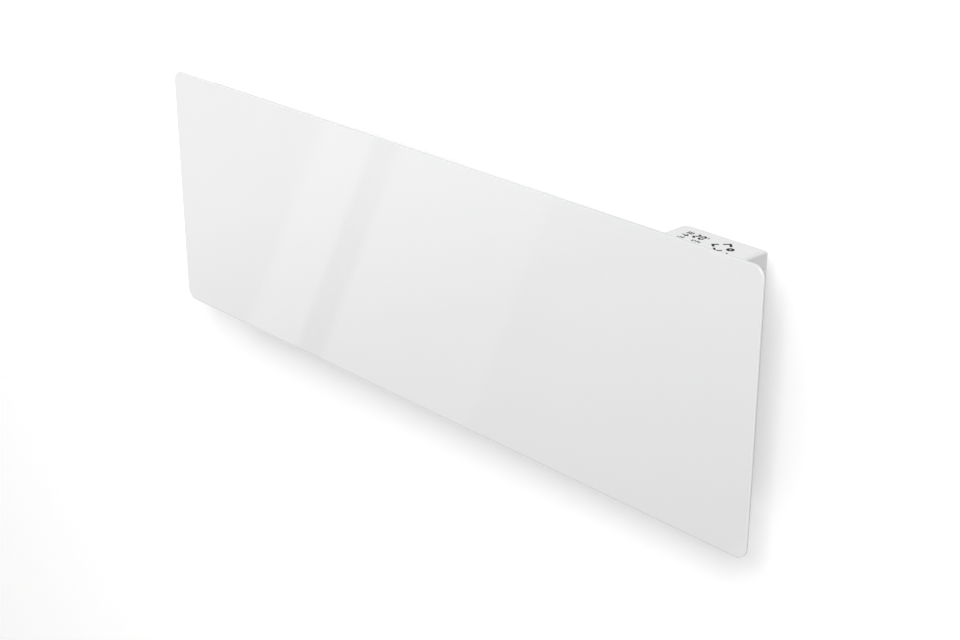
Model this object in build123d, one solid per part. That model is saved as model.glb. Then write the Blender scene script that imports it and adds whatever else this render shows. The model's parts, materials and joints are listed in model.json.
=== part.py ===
from build123d import *
import math
import os

# Wall-hung convector heater with a glass front, all sizes in millimetres.
# X runs to the right, Y towards the wall and Z up. The wall is at Y = 0, and
# the origin is the centre of the wall bracket's four screw slots.

# Glass front
GLASS_W = 1040.0
GLASS_H = 340.0
GLASS_T = 4.0
GLASS_R = 15.0
GLASS_ARRIS = 0.5
BOND_T = 1.0
BOND_W = 8.0
BOND_INSET = 20.0

# Folded steel casing
SHEET = 1.0
CASING_DEPTH = 40.0
SIDE_INSET = 32.0
TOP_INSET = 20.0
BOTTOM_INSET = 20.0
FOLD_R = 1.5
RETURN_W = 11.0
COVER_LIP = 3.0
WALL_GAP = 25.0
BEAD_W = 10.0
BEAD_H = 1.2
BEAD_SLOPE = 30.0
BEAD_MARGIN = 120.0
SEAT_GAP = 0.2

# Air slots in the top and bottom walls
SLOT_W = 3.6
SLOT_L = 28.0
SLOT_PITCH = 9.5
SLOT_MARGIN = 16.0

# Screws
SCREW_R = 1.5
SCREW_HEAD_R = 3.0
SCREW_HEAD_H = 1.8
SCREW_LENGTH = 6.0
SCREW_CLEARANCE = 0.05
HEAD_ROUNDING = 0.7
SCREW_COUNT = 5
SCREW_END_INSET = 96.0
END_SCREW_INSET = 80.0
SMALL_SCREW_R = 1.1
SMALL_HEAD_R = 2.2
SMALL_HEAD_H = 1.4
SMALL_SCREW_LENGTH = 4.6

# Control unit at the top right
CONTROL_W = 110.0
CONTROL_DROP = 2.0
CONTROL_R = 7.0
CONTROL_WALL = 2.0
CONTROL_EDGE_R = 0.6
CONTROL_END_R = 2.5
REBATE_GAP = 0.1
TUB_FLANGE_T = 2.0
TUB_DEPTH = 59.0
TUB_INSET = 6.5
TUB_CLEARANCE = 0.5
TUB_Y_GAP = 1.5
OVERLAY_T = 0.4
OVERLAY_MARGIN = 1.6
OVERLAY_GAP = 0.15
OVERLAY_R = 1.0
CONTROL_SCREW_GAP = 0.05
CONTROL_SCREW_INSET = 7.0
CONTROL_BOSS_R = 2.4
CONTROL_BOSS_H = 8.0
TONGUE_DROP = 0.5
BOARD_T = 1.6
BOARD_GAP = 1.0
TOUCH_H = 3.0
TOUCH_R = 3.4
TOUCH_REACH = 9.0
TOUCH_X = 71.0
MARKS_FROM_GLASS = 15.6
DISPLAY_W = 22.0
DISPLAY_D = 12.0
DISPLAY_H = 2.4
DISPLAY_EDGE = 0.5
DISPLAY_X = 24.5
ICON_LED_X = 20.6
ICON_LED_PITCH = 8.4
LED_SIZE = 2.0
LED_H = 1.0

# Power board and what it carries
POWER_BOARD_GAP = 2.5
POWER_BOARD_H = 50.0
POWER_BOARD_RISE = 3.0
STANDOFF_R = 3.0
STANDOFF_H = 2.0
BOARD_HOLE_INSET = 4.0
CASE_EDGE = 0.5
CASE_ROUNDING = 1.0
RELAY_AT = (6.0, 12.0)
RELAY_SIZE = (18.5, 15.0, 15.5)
TRANSFORMER_AT = (29.0, 12.0)
TRANSFORMER_SIZE = (22.0, 19.0, 20.0)
COIL_R = 7.5
COIL_RISE = 1.0
FILM_CAP_AT = (8.0, 31.0)
FILM_CAP_SIZE = (17.5, 8.0, 13.0)
ROUND_CAP_AT = (60.0, 12.0)
ROUND_CAP_R = 5.0
ROUND_CAP_H = 16.0
FUSE_AT = (26.0, 37.5)
FUSE_R = 2.6
FUSE_GLASS_R = 2.35
FUSE_L = 20.0
FUSE_CAP_L = 5.0
RADIO_FROM_END = 30.5
RADIO_RISE = 31.0
RADIO_SIZE = (24.0, 16.0, 1.0)
RADIO_SHIELD_H = 2.2
RADIO_EDGE = 1.0
RADIO_AERIAL = 6.0
HEADER_SIZE = (12.0, 6.0, 8.0)
PLUG_SIZE = (66.0, 14.0, 9.0)
PLUG_GROOVE = 1.0
PORT_COUNT = 5
PORT_PITCH = 12.5
PORT_FROM_END = 23.5
PORT_R = 2.6

# Partition between the hot chamber and the wiring compartment
PARTITION_GAP = 12.0
PARTITION_FOOT = 11.0
GROMMET_RISE = 37.0
GROMMET_R = 8.0
GROMMET_BORE_R = 5.0
GROMMET_LIP = 2.0

# Heating element
ELEMENT_RISE = 87.0
ELEMENT_END_GAP = 60.0
CORE_R = 7.0
SHEATH_R = 4.25
SHEATH_COLD_END = 26.0
WING_T = 1.6
WING_REACH = 36.0
WING_SPREAD = 10.0
WING_ROOT = 3.2
WING_WAIST_OUT = 0.86
WING_WAIST_UP = 0.48
FIN_PITCH = 13.0
FIN_GAP = 3.0
TERMINAL_R = 1.6
TERMINAL_L = 16.0
CERAMIC_R = 3.4
CERAMIC_L = 8.0
BUSH_R = 7.0
BUSH_FLANGE_R = 9.5
BUSH_FLANGE_T = 1.5
BUSH_CLEARANCE = 0.05
ELEMENT_BRACKET_RISE = 14.0
ELEMENT_BRACKET_W = 23.0
ELEMENT_BRACKET_FOOT = 16.0

# Heat shield behind the element
SHIELD_T = 0.5
SHIELD_MARGIN = 18.0
SHIELD_BEAD_R = 2.5
SHIELD_BEAD_INSET = 80.0

# Overheat cut-out and thermal fuse
CUTOUT_RISE = 98.0
CUTOUT_R = 9.0
CUTOUT_H = 7.0
CUTOUT_REACH = 76.0
CUTOUT_CAP_R = 6.5
CUTOUT_CAP_H = 3.0
CUTOUT_TAB_L = 8.0
THERMAL_FUSE_R = 2.0
THERMAL_FUSE_L = 13.0
CLIP_T = 0.6

# Mains inlet, terminals and earth
GLAND_FROM_END = 36.0
GLAND_BORE_R = 3.8
GLAND_BARREL_R = 6.5
GLAND_FLANGE_R = 9.5
GLAND_FLANGE_T = 2.4
GLAND_LENGTH = 16.0
GLAND_NUT_R = 10.0
GLAND_NUT_T = 4.0
TERMINAL_FROM_PARTITION = 24.0
TERMINAL_POLES = 3
TERMINAL_POLE_W = 10.5
TERMINAL_D = 15.0
TERMINAL_H = 14.0
EARTH_FROM_PARTITION = 16.0
EARTH_R = 2.0
EARTH_STUD_L = 9.0
EARTH_NUT_R = 4.0
EARTH_NUT_T = 3.2
EARTH_TAG_T = 0.8

# Mains rocker switch in the right end
SWITCH_DROP = 130.0
BEZEL_H = 22.0
BEZEL_W = 15.0
BEZEL_T = 1.6
BEZEL_EDGE = 0.5
SWITCH_BODY_H = 19.0
SWITCH_BODY_W = 12.8
SWITCH_BODY_D = 13.0
SWITCH_CLEARANCE = 0.1
ROCKER_H = 15.2
ROCKER_W = 9.4
ROCKER_DEPTH = 6.4
ROCKER_TILT = 8.0
ROCKER_PROUD = 0.5
ROCKER_PIVOT_IN = 1.0
ROCKER_CLEARANCE = 0.3
ROCKER_PIN_R = 1.2
ROCKER_PIN_CLEARANCE = 0.05
ROCKER_PIN_L = 0.9
SWITCH_TAB_L = 6.0
SWITCH_TAB_PITCH = 7.0

# Room sensor
SENSOR_FROM_END = 13.0
SENSOR_R = 2.2
SENSOR_L = 12.0
SENSOR_HOLDER_W = 9.0
SENSOR_HOLDER_T = 1.5

# Internal leads
LEAD_R = 1.3
SENSOR_LEAD_R = 0.8
LEAD_BEND = 9.0
LEAD_GAP = 3.4
RIBBON_W = 10.0
RIBBON_T = 1.0

# Hangers and spacers on the back
HANGER_X = 150.0
HANGER_W = 50.0
HANGER_SHEET = 1.5
HANGER_FOOT = 40.0
HOOK_DROP = 12.0
HOOK_GAP = 0.3
HOOK_BEND_R = 1.0
RIVET_R = 2.0
RIVET_HEAD_R = 4.0
RIVET_HEAD_H = 1.2
RIVET_ROUNDING = 0.8
RIVET_PITCH = 26.0
SPACER_R = 12.0
SPACER_TAPER = 2.0

# Wall bracket
RAIL_W = 460.0
RAIL_H = 30.0
RAIL_SHEET = 1.5
RAIL_BEND_R = 2.2
RAIL_SHELF = 14.0
RAIL_LIP = 15.5
RAIL_STIFFENER = 8.0
WALL_SCREW_X = 400.0
WALL_SCREW_Z = 150.0
WALL_SLOT_R = 3.0
WALL_SLOT_L = 16.0
LEG_X = 100.0
LEG_W = 26.0
LEG_INSET = 3.0

# Planes of the casing, from the wall forwards
REAR = -WALL_GAP
COVER_IN = REAR - SHEET
RETURN_IN = COVER_IN - SHEET
FRONT_WALL = REAR - CASING_DEPTH
FRONT_IN = FRONT_WALL + SHEET
GLASS_BACK = FRONT_WALL - BOND_T
MID_Y = (FRONT_IN + RETURN_IN) / 2

# Edges of the casing
CASE_X = GLASS_W / 2 - SIDE_INSET
CASE_TOP = GLASS_H / 2 - TOP_INSET
CASE_BOTTOM = BOTTOM_INSET - GLASS_H / 2
CASE_MID_Z = (CASE_TOP + CASE_BOTTOM) / 2
INNER_X = CASE_X - SHEET
INNER_TOP = CASE_TOP - SHEET
INNER_BOTTOM = CASE_BOTTOM + SHEET

# Levels inside the casing
ELEMENT_Z = INNER_BOTTOM + ELEMENT_RISE
GROMMET_Z = INNER_BOTTOM + GROMMET_RISE
CUTOUT_Z = ELEMENT_Z + CUTOUT_RISE
SWITCH_Z = CASE_TOP - SWITCH_DROP

# Control unit and partition
CONTROL_RIGHT = CASE_X + SHEET
CONTROL_LEFT = CONTROL_RIGHT - CONTROL_W
CONTROL_TOP = GLASS_H / 2 - CONTROL_DROP
FLANGE_TOP = CASE_TOP + TUB_FLANGE_T
TUB_LEFT = CONTROL_LEFT + TUB_INSET
TUB_RIGHT = CONTROL_RIGHT - TUB_INSET
TUB_FRONT = FRONT_IN + TUB_Y_GAP
TUB_BACK = RETURN_IN - TUB_Y_GAP
TUB_BOTTOM = CASE_TOP - TUB_DEPTH
TUB_FLOOR = TUB_BOTTOM + CONTROL_WALL
COVER_SKIN = CONTROL_TOP - CONTROL_WALL
PARTITION_X = TUB_LEFT - PARTITION_GAP - SHEET
DISPLAY_BOARD_TOP = COVER_SKIN - TOUCH_H
DISPLAY_BOARD_BOTTOM = DISPLAY_BOARD_TOP - BOARD_T
MARKS_Y = GLASS_BACK + MARKS_FROM_GLASS
POWER_BOARD_BACK = TUB_BACK - CONTROL_WALL - STANDOFF_H
POWER_BOARD_FACE = POWER_BOARD_BACK - BOARD_T
POWER_BOARD_LEFT = TUB_LEFT + CONTROL_WALL + POWER_BOARD_GAP
POWER_BOARD_W = TUB_RIGHT - CONTROL_WALL - POWER_BOARD_GAP - POWER_BOARD_LEFT
POWER_BOARD_BOTTOM = TUB_FLOOR + POWER_BOARD_RISE

# Element ends
ELEMENT_RIGHT = PARTITION_X - ELEMENT_END_GAP
ELEMENT_LEFT = -INNER_X + ELEMENT_END_GAP
ELEMENT_L = ELEMENT_RIGHT - ELEMENT_LEFT
ELEMENT_MID_X = (ELEMENT_RIGHT + ELEMENT_LEFT) / 2
GLAND_X = INNER_X - GLAND_FROM_END
TERMINAL_X = PARTITION_X + TERMINAL_FROM_PARTITION
SENSOR_X = INNER_X - SENSOR_FROM_END

# Bracket and hook levels
RAIL_Z = WALL_SCREW_Z / 2
RAIL_TOP = RAIL_Z + RAIL_H / 2
LIP_TOP = RAIL_TOP - RAIL_SHEET + RAIL_LIP
LIP_BACK = -RAIL_SHELF + RAIL_SHEET
HANGER_TOP = LIP_TOP + HANGER_SHEET
BEAD_Z = (HANGER_TOP + CASE_TOP - SHEET - RETURN_W) / 2


def block(x0, x1, y0, y1, z0, z1):
    """A box between two corners."""
    middle = Pos((x0 + x1) / 2, (y0 + y1) / 2, (z0 + z1) / 2)
    return middle * Box(x1 - x0, y1 - y0, z1 - z0)


def plate(x0, x1, y0, y1):
    """A rectangle between two corners."""
    return Pos((x0 + x1) / 2, (y0 + y1) / 2) * Rectangle(x1 - x0, y1 - y0)


def facing_front(y):
    """A plane at Y = y whose outward side faces the room."""
    return Plane(origin=(0, y, 0), x_dir=(1, 0, 0), z_dir=(0, -1, 0))


def facing_right(x):
    """A plane at X = x, with Y to its right and Z up."""
    return Plane(origin=(x, 0, 0), x_dir=(0, 1, 0), z_dir=(1, 0, 0))


def rod(start, end, radius):
    """A round rod between two points."""
    axis = Vector(*end) - Vector(*start)
    base = Plane(origin=start, z_dir=axis.normalized())
    return extrude(base * Circle(radius), amount=axis.length)


def ring(start, end, outer, inner):
    """A round sleeve between two points."""
    return rod(start, end, outer) - rod(start, end, inner)


def screw(head_point, direction, radius, head_radius, head_height, length):
    """A pan-head screw whose head stands out against its direction."""
    head = Pos(0, 0, -head_height / 2) * Cylinder(head_radius, head_height)
    head = fillet(head.edges().group_by(Axis.Z)[0], head_height * HEAD_ROUNDING)
    shank = Pos(0, 0, length / 2) * Cylinder(radius, length)
    shank = chamfer(shank.edges().group_by(Axis.Z)[-1], radius / 2)
    return Plane(origin=head_point, z_dir=direction) * (head + shank)


def casing_screw(x, z):
    return screw((x, REAR, z), (0, -1, 0), SCREW_R, SCREW_HEAD_R, SCREW_HEAD_H, SCREW_LENGTH)


def small_screw(point, direction):
    return screw(
        point, direction, SMALL_SCREW_R, SMALL_HEAD_R, SMALL_HEAD_H, SMALL_SCREW_LENGTH
    )


def row(first, last, pitch):
    """Evenly spaced places, centred between two ends."""
    count = int((last - first) / pitch) + 1
    start = (first + last - (count - 1) * pitch) / 2
    return [start + i * pitch for i in range(count)]


def lead(points, radius, bend):
    """A round lead along straight runs joined by tangent arcs."""
    path = FilletPolyline(*points, radius=bend)
    return sweep(Plane(origin=path @ 0, z_dir=path % 0) * Circle(radius), path=path)


def folded(points, sheet, bend, x_middle, width):
    """Sheet folded along mid-thickness points in Y and Z, drawn out along X."""
    path = FilletPolyline(*points, radius=bend)
    strip = extrude(facing_right(0) * trace(path, sheet), amount=width / 2, both=True)
    return Pos(x_middle, 0, 0) * strip


# Glass front

def front_glass():
    outline = RectangleRounded(GLASS_W, GLASS_H, GLASS_R)
    pane = extrude(facing_front(GLASS_BACK) * outline, amount=GLASS_T)
    rims = pane.edges().group_by(Axis.Y)
    return chamfer(rims[0] + rims[-1], GLASS_ARRIS)


def glass_adhesive():
    """Flat beads of silicone between the glass and the casing's front wall."""
    half_x = CASE_X - BOND_INSET
    half_z = (CASE_TOP - CASE_BOTTOM) / 2 - BOND_INSET
    long_bead = SlotOverall(2 * half_x - 4 * BOND_W, BOND_W)
    short_bead = SlotOverall(2 * half_z - 4 * BOND_W, BOND_W, rotation=90)
    places = [
        Pos(0, CASE_MID_Z + half_z) * long_bead,
        Pos(0, CASE_MID_Z - half_z) * long_bead,
        Pos(half_x, CASE_MID_Z) * short_bead,
        Pos(-half_x, CASE_MID_Z) * short_bead,
        Pos(0, CASE_MID_Z) * long_bead,
    ]
    return Compound([extrude(facing_front(FRONT_WALL) * bead, amount=BOND_T) for bead in places])


# Casing

def control_plan(inset=0.0):
    """Plan of the control unit: square at the glass and the right end, rounded at the left rear."""
    plan = plate(
        CONTROL_LEFT + inset, CONTROL_RIGHT - inset, GLASS_BACK + inset, COVER_IN - inset
    )
    corner = plan.vertices().group_by(Axis.Y)[-1].sort_by(Axis.X)[:1]
    return fillet(corner, CONTROL_R - inset)


def lip_rebate(inset=0.0):
    """The corner of that plan that gives way to the rear cover's lip."""
    return plate(
        CASE_X - REBATE_GAP - inset, CONTROL_RIGHT,
        REAR - COVER_LIP - REBATE_GAP - inset, COVER_IN,
    )


def air_slots():
    """The row of air slots in plan, over the hot chamber."""
    places = row(-INNER_X + SLOT_MARGIN, PARTITION_X - SLOT_MARGIN, SLOT_PITCH)
    slot = SlotOverall(SLOT_L, SLOT_W, rotation=90)
    return Sketch() + [Pos(x, MID_Y) * slot for x in places]


def casing_screw_places():
    """Screws along the top and bottom returns and up both ends."""
    inset = SHEET + RETURN_W / 2
    reach = CASE_X - SCREW_END_INSET
    along = [-reach + 2 * reach * i / (SCREW_COUNT - 1) for i in range(SCREW_COUNT)]
    places = [(x, CASE_TOP - inset) for x in along if x < CONTROL_LEFT]
    places += [(x, CASE_BOTTOM + inset) for x in along]
    levels = (CASE_BOTTOM + END_SCREW_INSET, CASE_TOP - END_SCREW_INSET)
    places += [(side * (CASE_X - inset), z) for side in (-1, 1) for z in levels]
    return places


def screw_holes(y0, y1, places):
    return [rod((x, y0, z), (x, y1, z), SCREW_R + SCREW_CLEARANCE) for x, z in places]


def front_casing():
    """A folded tray, open at the back, with returns all round for the rear cover."""
    body = block(-CASE_X, CASE_X, FRONT_WALL, COVER_IN, CASE_BOTTOM, CASE_TOP)
    body = fillet(body.edges().group_by(Axis.Y)[0] + body.edges().filter_by(Axis.Y), FOLD_R)
    body -= block(-INNER_X, INNER_X, FRONT_IN, RETURN_IN, INNER_BOTTOM, INNER_TOP)
    mouth_x = INNER_X - RETURN_W
    body -= block(
        -mouth_x, mouth_x, RETURN_IN, COVER_IN, INNER_BOTTOM + RETURN_W, INNER_TOP - RETURN_W
    )
    slots = air_slots()
    body -= extrude(Plane.XY.offset(INNER_TOP) * slots, amount=SHEET)
    body -= extrude(Plane.XY.offset(CASE_BOTTOM) * slots, amount=SHEET)
    body -= block(
        TUB_LEFT - TUB_CLEARANCE, TUB_RIGHT + TUB_CLEARANCE,
        TUB_FRONT - TUB_CLEARANCE, TUB_BACK + TUB_CLEARANCE,
        INNER_TOP, CASE_TOP,
    )
    for x, y in control_screw_places():
        body -= rod((x, y, INNER_TOP), (x, y, CASE_TOP), SMALL_SCREW_R + SCREW_CLEARANCE)
    body -= rod(
        (GLAND_X, MID_Y, CASE_BOTTOM), (GLAND_X, MID_Y, INNER_BOTTOM),
        GLAND_BARREL_R + SCREW_CLEARANCE,
    )
    half_h = SWITCH_BODY_H / 2 + SWITCH_CLEARANCE
    half_w = SWITCH_BODY_W / 2 + SWITCH_CLEARANCE
    body -= block(
        INNER_X, CASE_X, MID_Y - half_w, MID_Y + half_w, SWITCH_Z - half_h, SWITCH_Z + half_h
    )
    for hole in screw_holes(RETURN_IN, COVER_IN, casing_screw_places()):
        body -= hole
    return body


def cover_panel():
    """Outline of the rear cover, with its step up behind the control unit."""
    height = CASE_TOP - CASE_BOTTOM + 2 * SHEET
    panel = RectangleRounded(2 * (CASE_X + SHEET), height, FOLD_R + SHEET)
    step = plate(
        CONTROL_LEFT + CONTROL_R, CONTROL_RIGHT, CASE_TOP - RETURN_W, CONTROL_TOP - TONGUE_DROP
    )
    step = fillet(step.vertices().group_by(Axis.Y)[-1].sort_by(Axis.X)[:1], FOLD_R)
    step = fillet(step.vertices().group_by(Axis.X)[-1].sort_by(Axis.Y)[-1:], CONTROL_END_R)
    return Pos(0, CASE_MID_Z) * panel + step


def cover_inside():
    """What lies inside the rear cover's lip, open upwards for the control unit."""
    casing = RectangleRounded(2 * CASE_X, CASE_TOP - CASE_BOTTOM, FOLD_R)
    opening = plate(CONTROL_LEFT - SEAT_GAP, CASE_X, CASE_TOP - RETURN_W, GLASS_H / 2)
    return Pos(0, CASE_MID_Z) * casing + opening


def rear_cover():
    """The back of the casing: a shallow tray whose lip goes round the front casing."""
    body = extrude(facing_front(REAR) * cover_panel(), amount=COVER_LIP)
    body -= extrude(facing_front(COVER_IN) * cover_inside(), amount=COVER_LIP)
    bead_l = 2 * (CASE_X + SHEET - BEAD_MARGIN)
    for z in (2 * CASE_MID_Z - BEAD_Z, BEAD_Z):
        rib = Pos(0, z) * SlotOverall(bead_l, BEAD_W)
        hollow = Pos(0, z) * SlotOverall(bead_l - 2 * SHEET, BEAD_W - 2 * SHEET)
        body += extrude(facing_front(REAR) * rib, amount=-BEAD_H, taper=BEAD_SLOPE)
        body -= extrude(facing_front(COVER_IN) * hollow, amount=-BEAD_H, taper=BEAD_SLOPE)
    for hole in screw_holes(REAR, COVER_IN, casing_screw_places()):
        body -= hole
    for x, z in hanger_rivet_places() + spacer_places():
        body -= rod((x, REAR, z), (x, COVER_IN, z), RIVET_R)
    return body


def casing_screws():
    return Compound([casing_screw(x, z) for x, z in casing_screw_places()])


def partition():
    """Sheet wall, with one foot on the front wall, that keeps the heat from the wiring."""
    y0, y1 = FRONT_IN, RETURN_IN
    wall = block(PARTITION_X, PARTITION_X + SHEET, y0, y1, INNER_BOTTOM, INNER_TOP)
    foot = block(
        PARTITION_X, PARTITION_X + PARTITION_FOOT, y0, y0 + SHEET, INNER_BOTTOM, INNER_TOP
    )
    body = wall + foot
    hole = ((PARTITION_X, MID_Y, GROMMET_Z), (PARTITION_X + SHEET, MID_Y, GROMMET_Z))
    return body - rod(hole[0], hole[1], GROMMET_R - GROMMET_LIP)


def partition_grommet():
    """Rubber bush whose groove sits in the partition's hole."""
    x0 = PARTITION_X - GROMMET_LIP
    x1 = PARTITION_X + SHEET + GROMMET_LIP
    body = ring((x0, MID_Y, GROMMET_Z), (x1, MID_Y, GROMMET_Z), GROMMET_R, GROMMET_BORE_R)
    groove = ring(
        (PARTITION_X, MID_Y, GROMMET_Z), (PARTITION_X + SHEET, MID_Y, GROMMET_Z),
        GROMMET_R + GROMMET_LIP, GROMMET_R - GROMMET_LIP,
    )
    return body - groove


# Heating element

def wing(side_y, side_z):
    """One curved wing of the extrusion, drawn in the Y-Z plane."""
    root = (side_y * WING_ROOT, side_z * WING_ROOT)
    waist = (
        side_y * WING_SPREAD * WING_WAIST_OUT, side_z * (WING_REACH + WING_ROOT) * WING_WAIST_UP
    )
    tip = (side_y * WING_SPREAD, side_z * WING_REACH)
    return trace(ThreePointArc(root, waist, tip), WING_T)


def heating_element():
    """Extruded aluminium body: a core on the sheath and four wings cut into fins."""
    section = Circle(CORE_R)
    for side_y in (-1, 1):
        for side_z in (-1, 1):
            section += wing(side_y, side_z)
    section -= Circle(SHEATH_R)
    body = extrude(facing_right(0) * section, amount=ELEMENT_L / 2, both=True)
    reach = WING_REACH + WING_T
    deep = WING_SPREAD + WING_ROOT
    comb = row(-ELEMENT_L / 2 + FIN_PITCH, ELEMENT_L / 2 - FIN_PITCH, FIN_PITCH)
    top = Sketch() + [
        Pos(x, (reach + CORE_R + WING_T) / 2) * Rectangle(FIN_GAP, reach - CORE_R - WING_T) for x in comb
    ]
    cutter = extrude(facing_front(0) * top, amount=deep, both=True)
    body = body - cutter - mirror(cutter, about=Plane.XY)
    return Pos(ELEMENT_MID_X, MID_Y, ELEMENT_Z) * body


def element_axis(x):
    return (x, MID_Y, ELEMENT_Z)


def element_sheath():
    """The steel tube of the heater, longer than its fins by a cold end each side."""
    start = element_axis(ELEMENT_LEFT - SHEATH_COLD_END)
    end = element_axis(ELEMENT_RIGHT + SHEATH_COLD_END)
    return rod(start, end, SHEATH_R)


def sheath_ends():
    """The two ends of the sheath, each with its outward direction."""
    return [(ELEMENT_LEFT - SHEATH_COLD_END, -1), (ELEMENT_RIGHT + SHEATH_COLD_END, 1)]


def terminal_ceramics():
    parts = []
    for x, out in sheath_ends():
        ceramic = ring(
            element_axis(x), element_axis(x + out * CERAMIC_L), CERAMIC_R, TERMINAL_R
        )
        parts.append(ceramic)
    return Compound(parts)


def terminal_pins():
    parts = []
    for x, out in sheath_ends():
        parts.append(rod(element_axis(x), element_axis(x + out * TERMINAL_L), TERMINAL_R))
    return Compound(parts)


def bracket_places():
    """Middle of each end bracket, halfway along the sheath's cold end."""
    return [ELEMENT_LEFT - SHEATH_COLD_END / 2, ELEMENT_RIGHT + SHEATH_COLD_END / 2]


def element_bracket(x, out):
    """Upright with a foot on the casing's bottom wall and a hole for the bush."""
    x0 = x - SHEET / 2
    half = ELEMENT_BRACKET_W / 2
    height = ELEMENT_Z + ELEMENT_BRACKET_RISE - INNER_BOTTOM
    outline = Pos(MID_Y, INNER_BOTTOM + height / 2) * Rectangle(2 * half, height)
    outline = fillet(outline.vertices().group_by(Axis.Y)[-1], BUSH_R)
    upright = extrude(facing_right(x0) * outline, amount=SHEET)
    far = x0 if out < 0 else x0 + SHEET
    near = far + out * ELEMENT_BRACKET_FOOT
    foot = block(
        min(far, near), max(far, near), MID_Y - half, MID_Y + half,
        INNER_BOTTOM, INNER_BOTTOM + SHEET,
    )
    return upright + foot - rod(element_axis(x0), element_axis(x0 + SHEET), BUSH_R + BUSH_CLEARANCE)


def element_bushes():
    """Flanged bushes that let the sheath slide as it grows with heat."""
    parts = []
    for x, (_, out) in zip(bracket_places(), sheath_ends()):
        barrel = ring(
            element_axis(x - out * SHEET / 2), element_axis(x + out * (SHEET / 2 + BUSH_FLANGE_T)),
            BUSH_R, SHEATH_R,
        )
        inner_face = x - out * SHEET / 2
        flange = ring(
            element_axis(inner_face), element_axis(inner_face - out * BUSH_FLANGE_T),
            BUSH_FLANGE_R, SHEATH_R,
        )
        parts.append(barrel + flange)
    return Compound(parts)


def heat_shield():
    """Thin sheet on the casing's returns, stiffened by two rolled beads."""
    x0 = -INNER_X + SHIELD_MARGIN
    x1 = PARTITION_X - SHEET
    z0 = INNER_BOTTOM + SHEET
    z1 = INNER_TOP - SHEET
    body = block(x0, x1, RETURN_IN - SHIELD_T, RETURN_IN, z0, z1)
    levels = (CASE_BOTTOM + SHIELD_BEAD_INSET, CASE_TOP - SHIELD_BEAD_INSET)
    for z in levels:
        body += rod((x0, RETURN_IN, z), (x1, RETURN_IN, z), SHIELD_BEAD_R)
    for z in levels:
        body -= rod((x0, RETURN_IN, z), (x1, RETURN_IN, z), SHIELD_BEAD_R - SHIELD_T)
    body -= block(x0, x1, RETURN_IN, RETURN_IN + SHIELD_BEAD_R, z0, z1)
    for hole in screw_holes(RETURN_IN - SHIELD_T, RETURN_IN, casing_screw_places()):
        body -= hole
    return body


# Overheat protection

def cutout_bracket():
    """Angle on the partition that holds the cut-out over the element."""
    half = CUTOUT_R + SHEET
    x0 = PARTITION_X - CUTOUT_REACH
    shelf = block(x0, PARTITION_X, MID_Y - half, MID_Y + half, CUTOUT_Z, CUTOUT_Z + SHEET)
    back = block(
        PARTITION_X - SHEET, PARTITION_X, MID_Y - half, MID_Y + half,
        CUTOUT_Z, CUTOUT_Z + 2 * CUTOUT_R,
    )
    x = cutout_x()
    hole = rod((x, MID_Y, CUTOUT_Z), (x, MID_Y, CUTOUT_Z + SHEET), CUTOUT_CAP_R + SCREW_CLEARANCE)
    return shelf + back - hole


def cutout_x():
    return PARTITION_X - CUTOUT_REACH + CUTOUT_R + SHEET


def overheat_cutout():
    """Snap-disc cut-out: metal cap down through the shelf, body and two tabs above."""
    x = cutout_x()
    seat = CUTOUT_Z + SHEET
    body = rod((x, MID_Y, seat), (x, MID_Y, seat + CUTOUT_H), CUTOUT_R)
    body += rod((x, MID_Y, seat), (x, MID_Y, seat - CUTOUT_CAP_H), CUTOUT_CAP_R)
    for side in (-1, 1):
        y = MID_Y + side * CUTOUT_R / 2
        body += block(
            x - TERMINAL_R, x + TERMINAL_R, y - SHEET / 2, y + SHEET / 2,
            seat + CUTOUT_H, seat + CUTOUT_H + CUTOUT_TAB_L,
        )
    return body


def fuse_axis_z():
    return CUTOUT_Z - THERMAL_FUSE_R


def thermal_fuse():
    x1 = PARTITION_X - SHEET - CLIP_T
    z = fuse_axis_z() - CUTOUT_CAP_H
    x0 = x1 - 2 * THERMAL_FUSE_R
    half = THERMAL_FUSE_L / 2
    middle = (x0 + x1) / 2
    return rod((middle, MID_Y - half, z), (middle, MID_Y + half, z), THERMAL_FUSE_R)


def fuse_clip():
    """Spring clip that holds the thermal fuse against the partition."""
    x1 = PARTITION_X
    z = fuse_axis_z() - CUTOUT_CAP_H
    middle = x1 - SHEET - CLIP_T - THERMAL_FUSE_R
    half = THERMAL_FUSE_L / 4
    body = ring(
        (middle, MID_Y - half, z), (middle, MID_Y + half, z),
        THERMAL_FUSE_R + CLIP_T, THERMAL_FUSE_R,
    )
    body += block(
        middle + THERMAL_FUSE_R, x1, MID_Y - half, MID_Y + half, z - CLIP_T, z + CLIP_T
    )
    return body


# Control unit

def control_screw_places():
    """Four screws that hold the cover down through the flange and the casing."""
    out = SMALL_HEAD_R + CONTROL_SCREW_GAP
    xs = (TUB_LEFT - out, TUB_RIGHT + out)
    ys = (TUB_FRONT + CONTROL_SCREW_INSET, TUB_BACK - CONTROL_SCREW_INSET)
    return [(x, y) for x in xs for y in ys]


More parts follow.
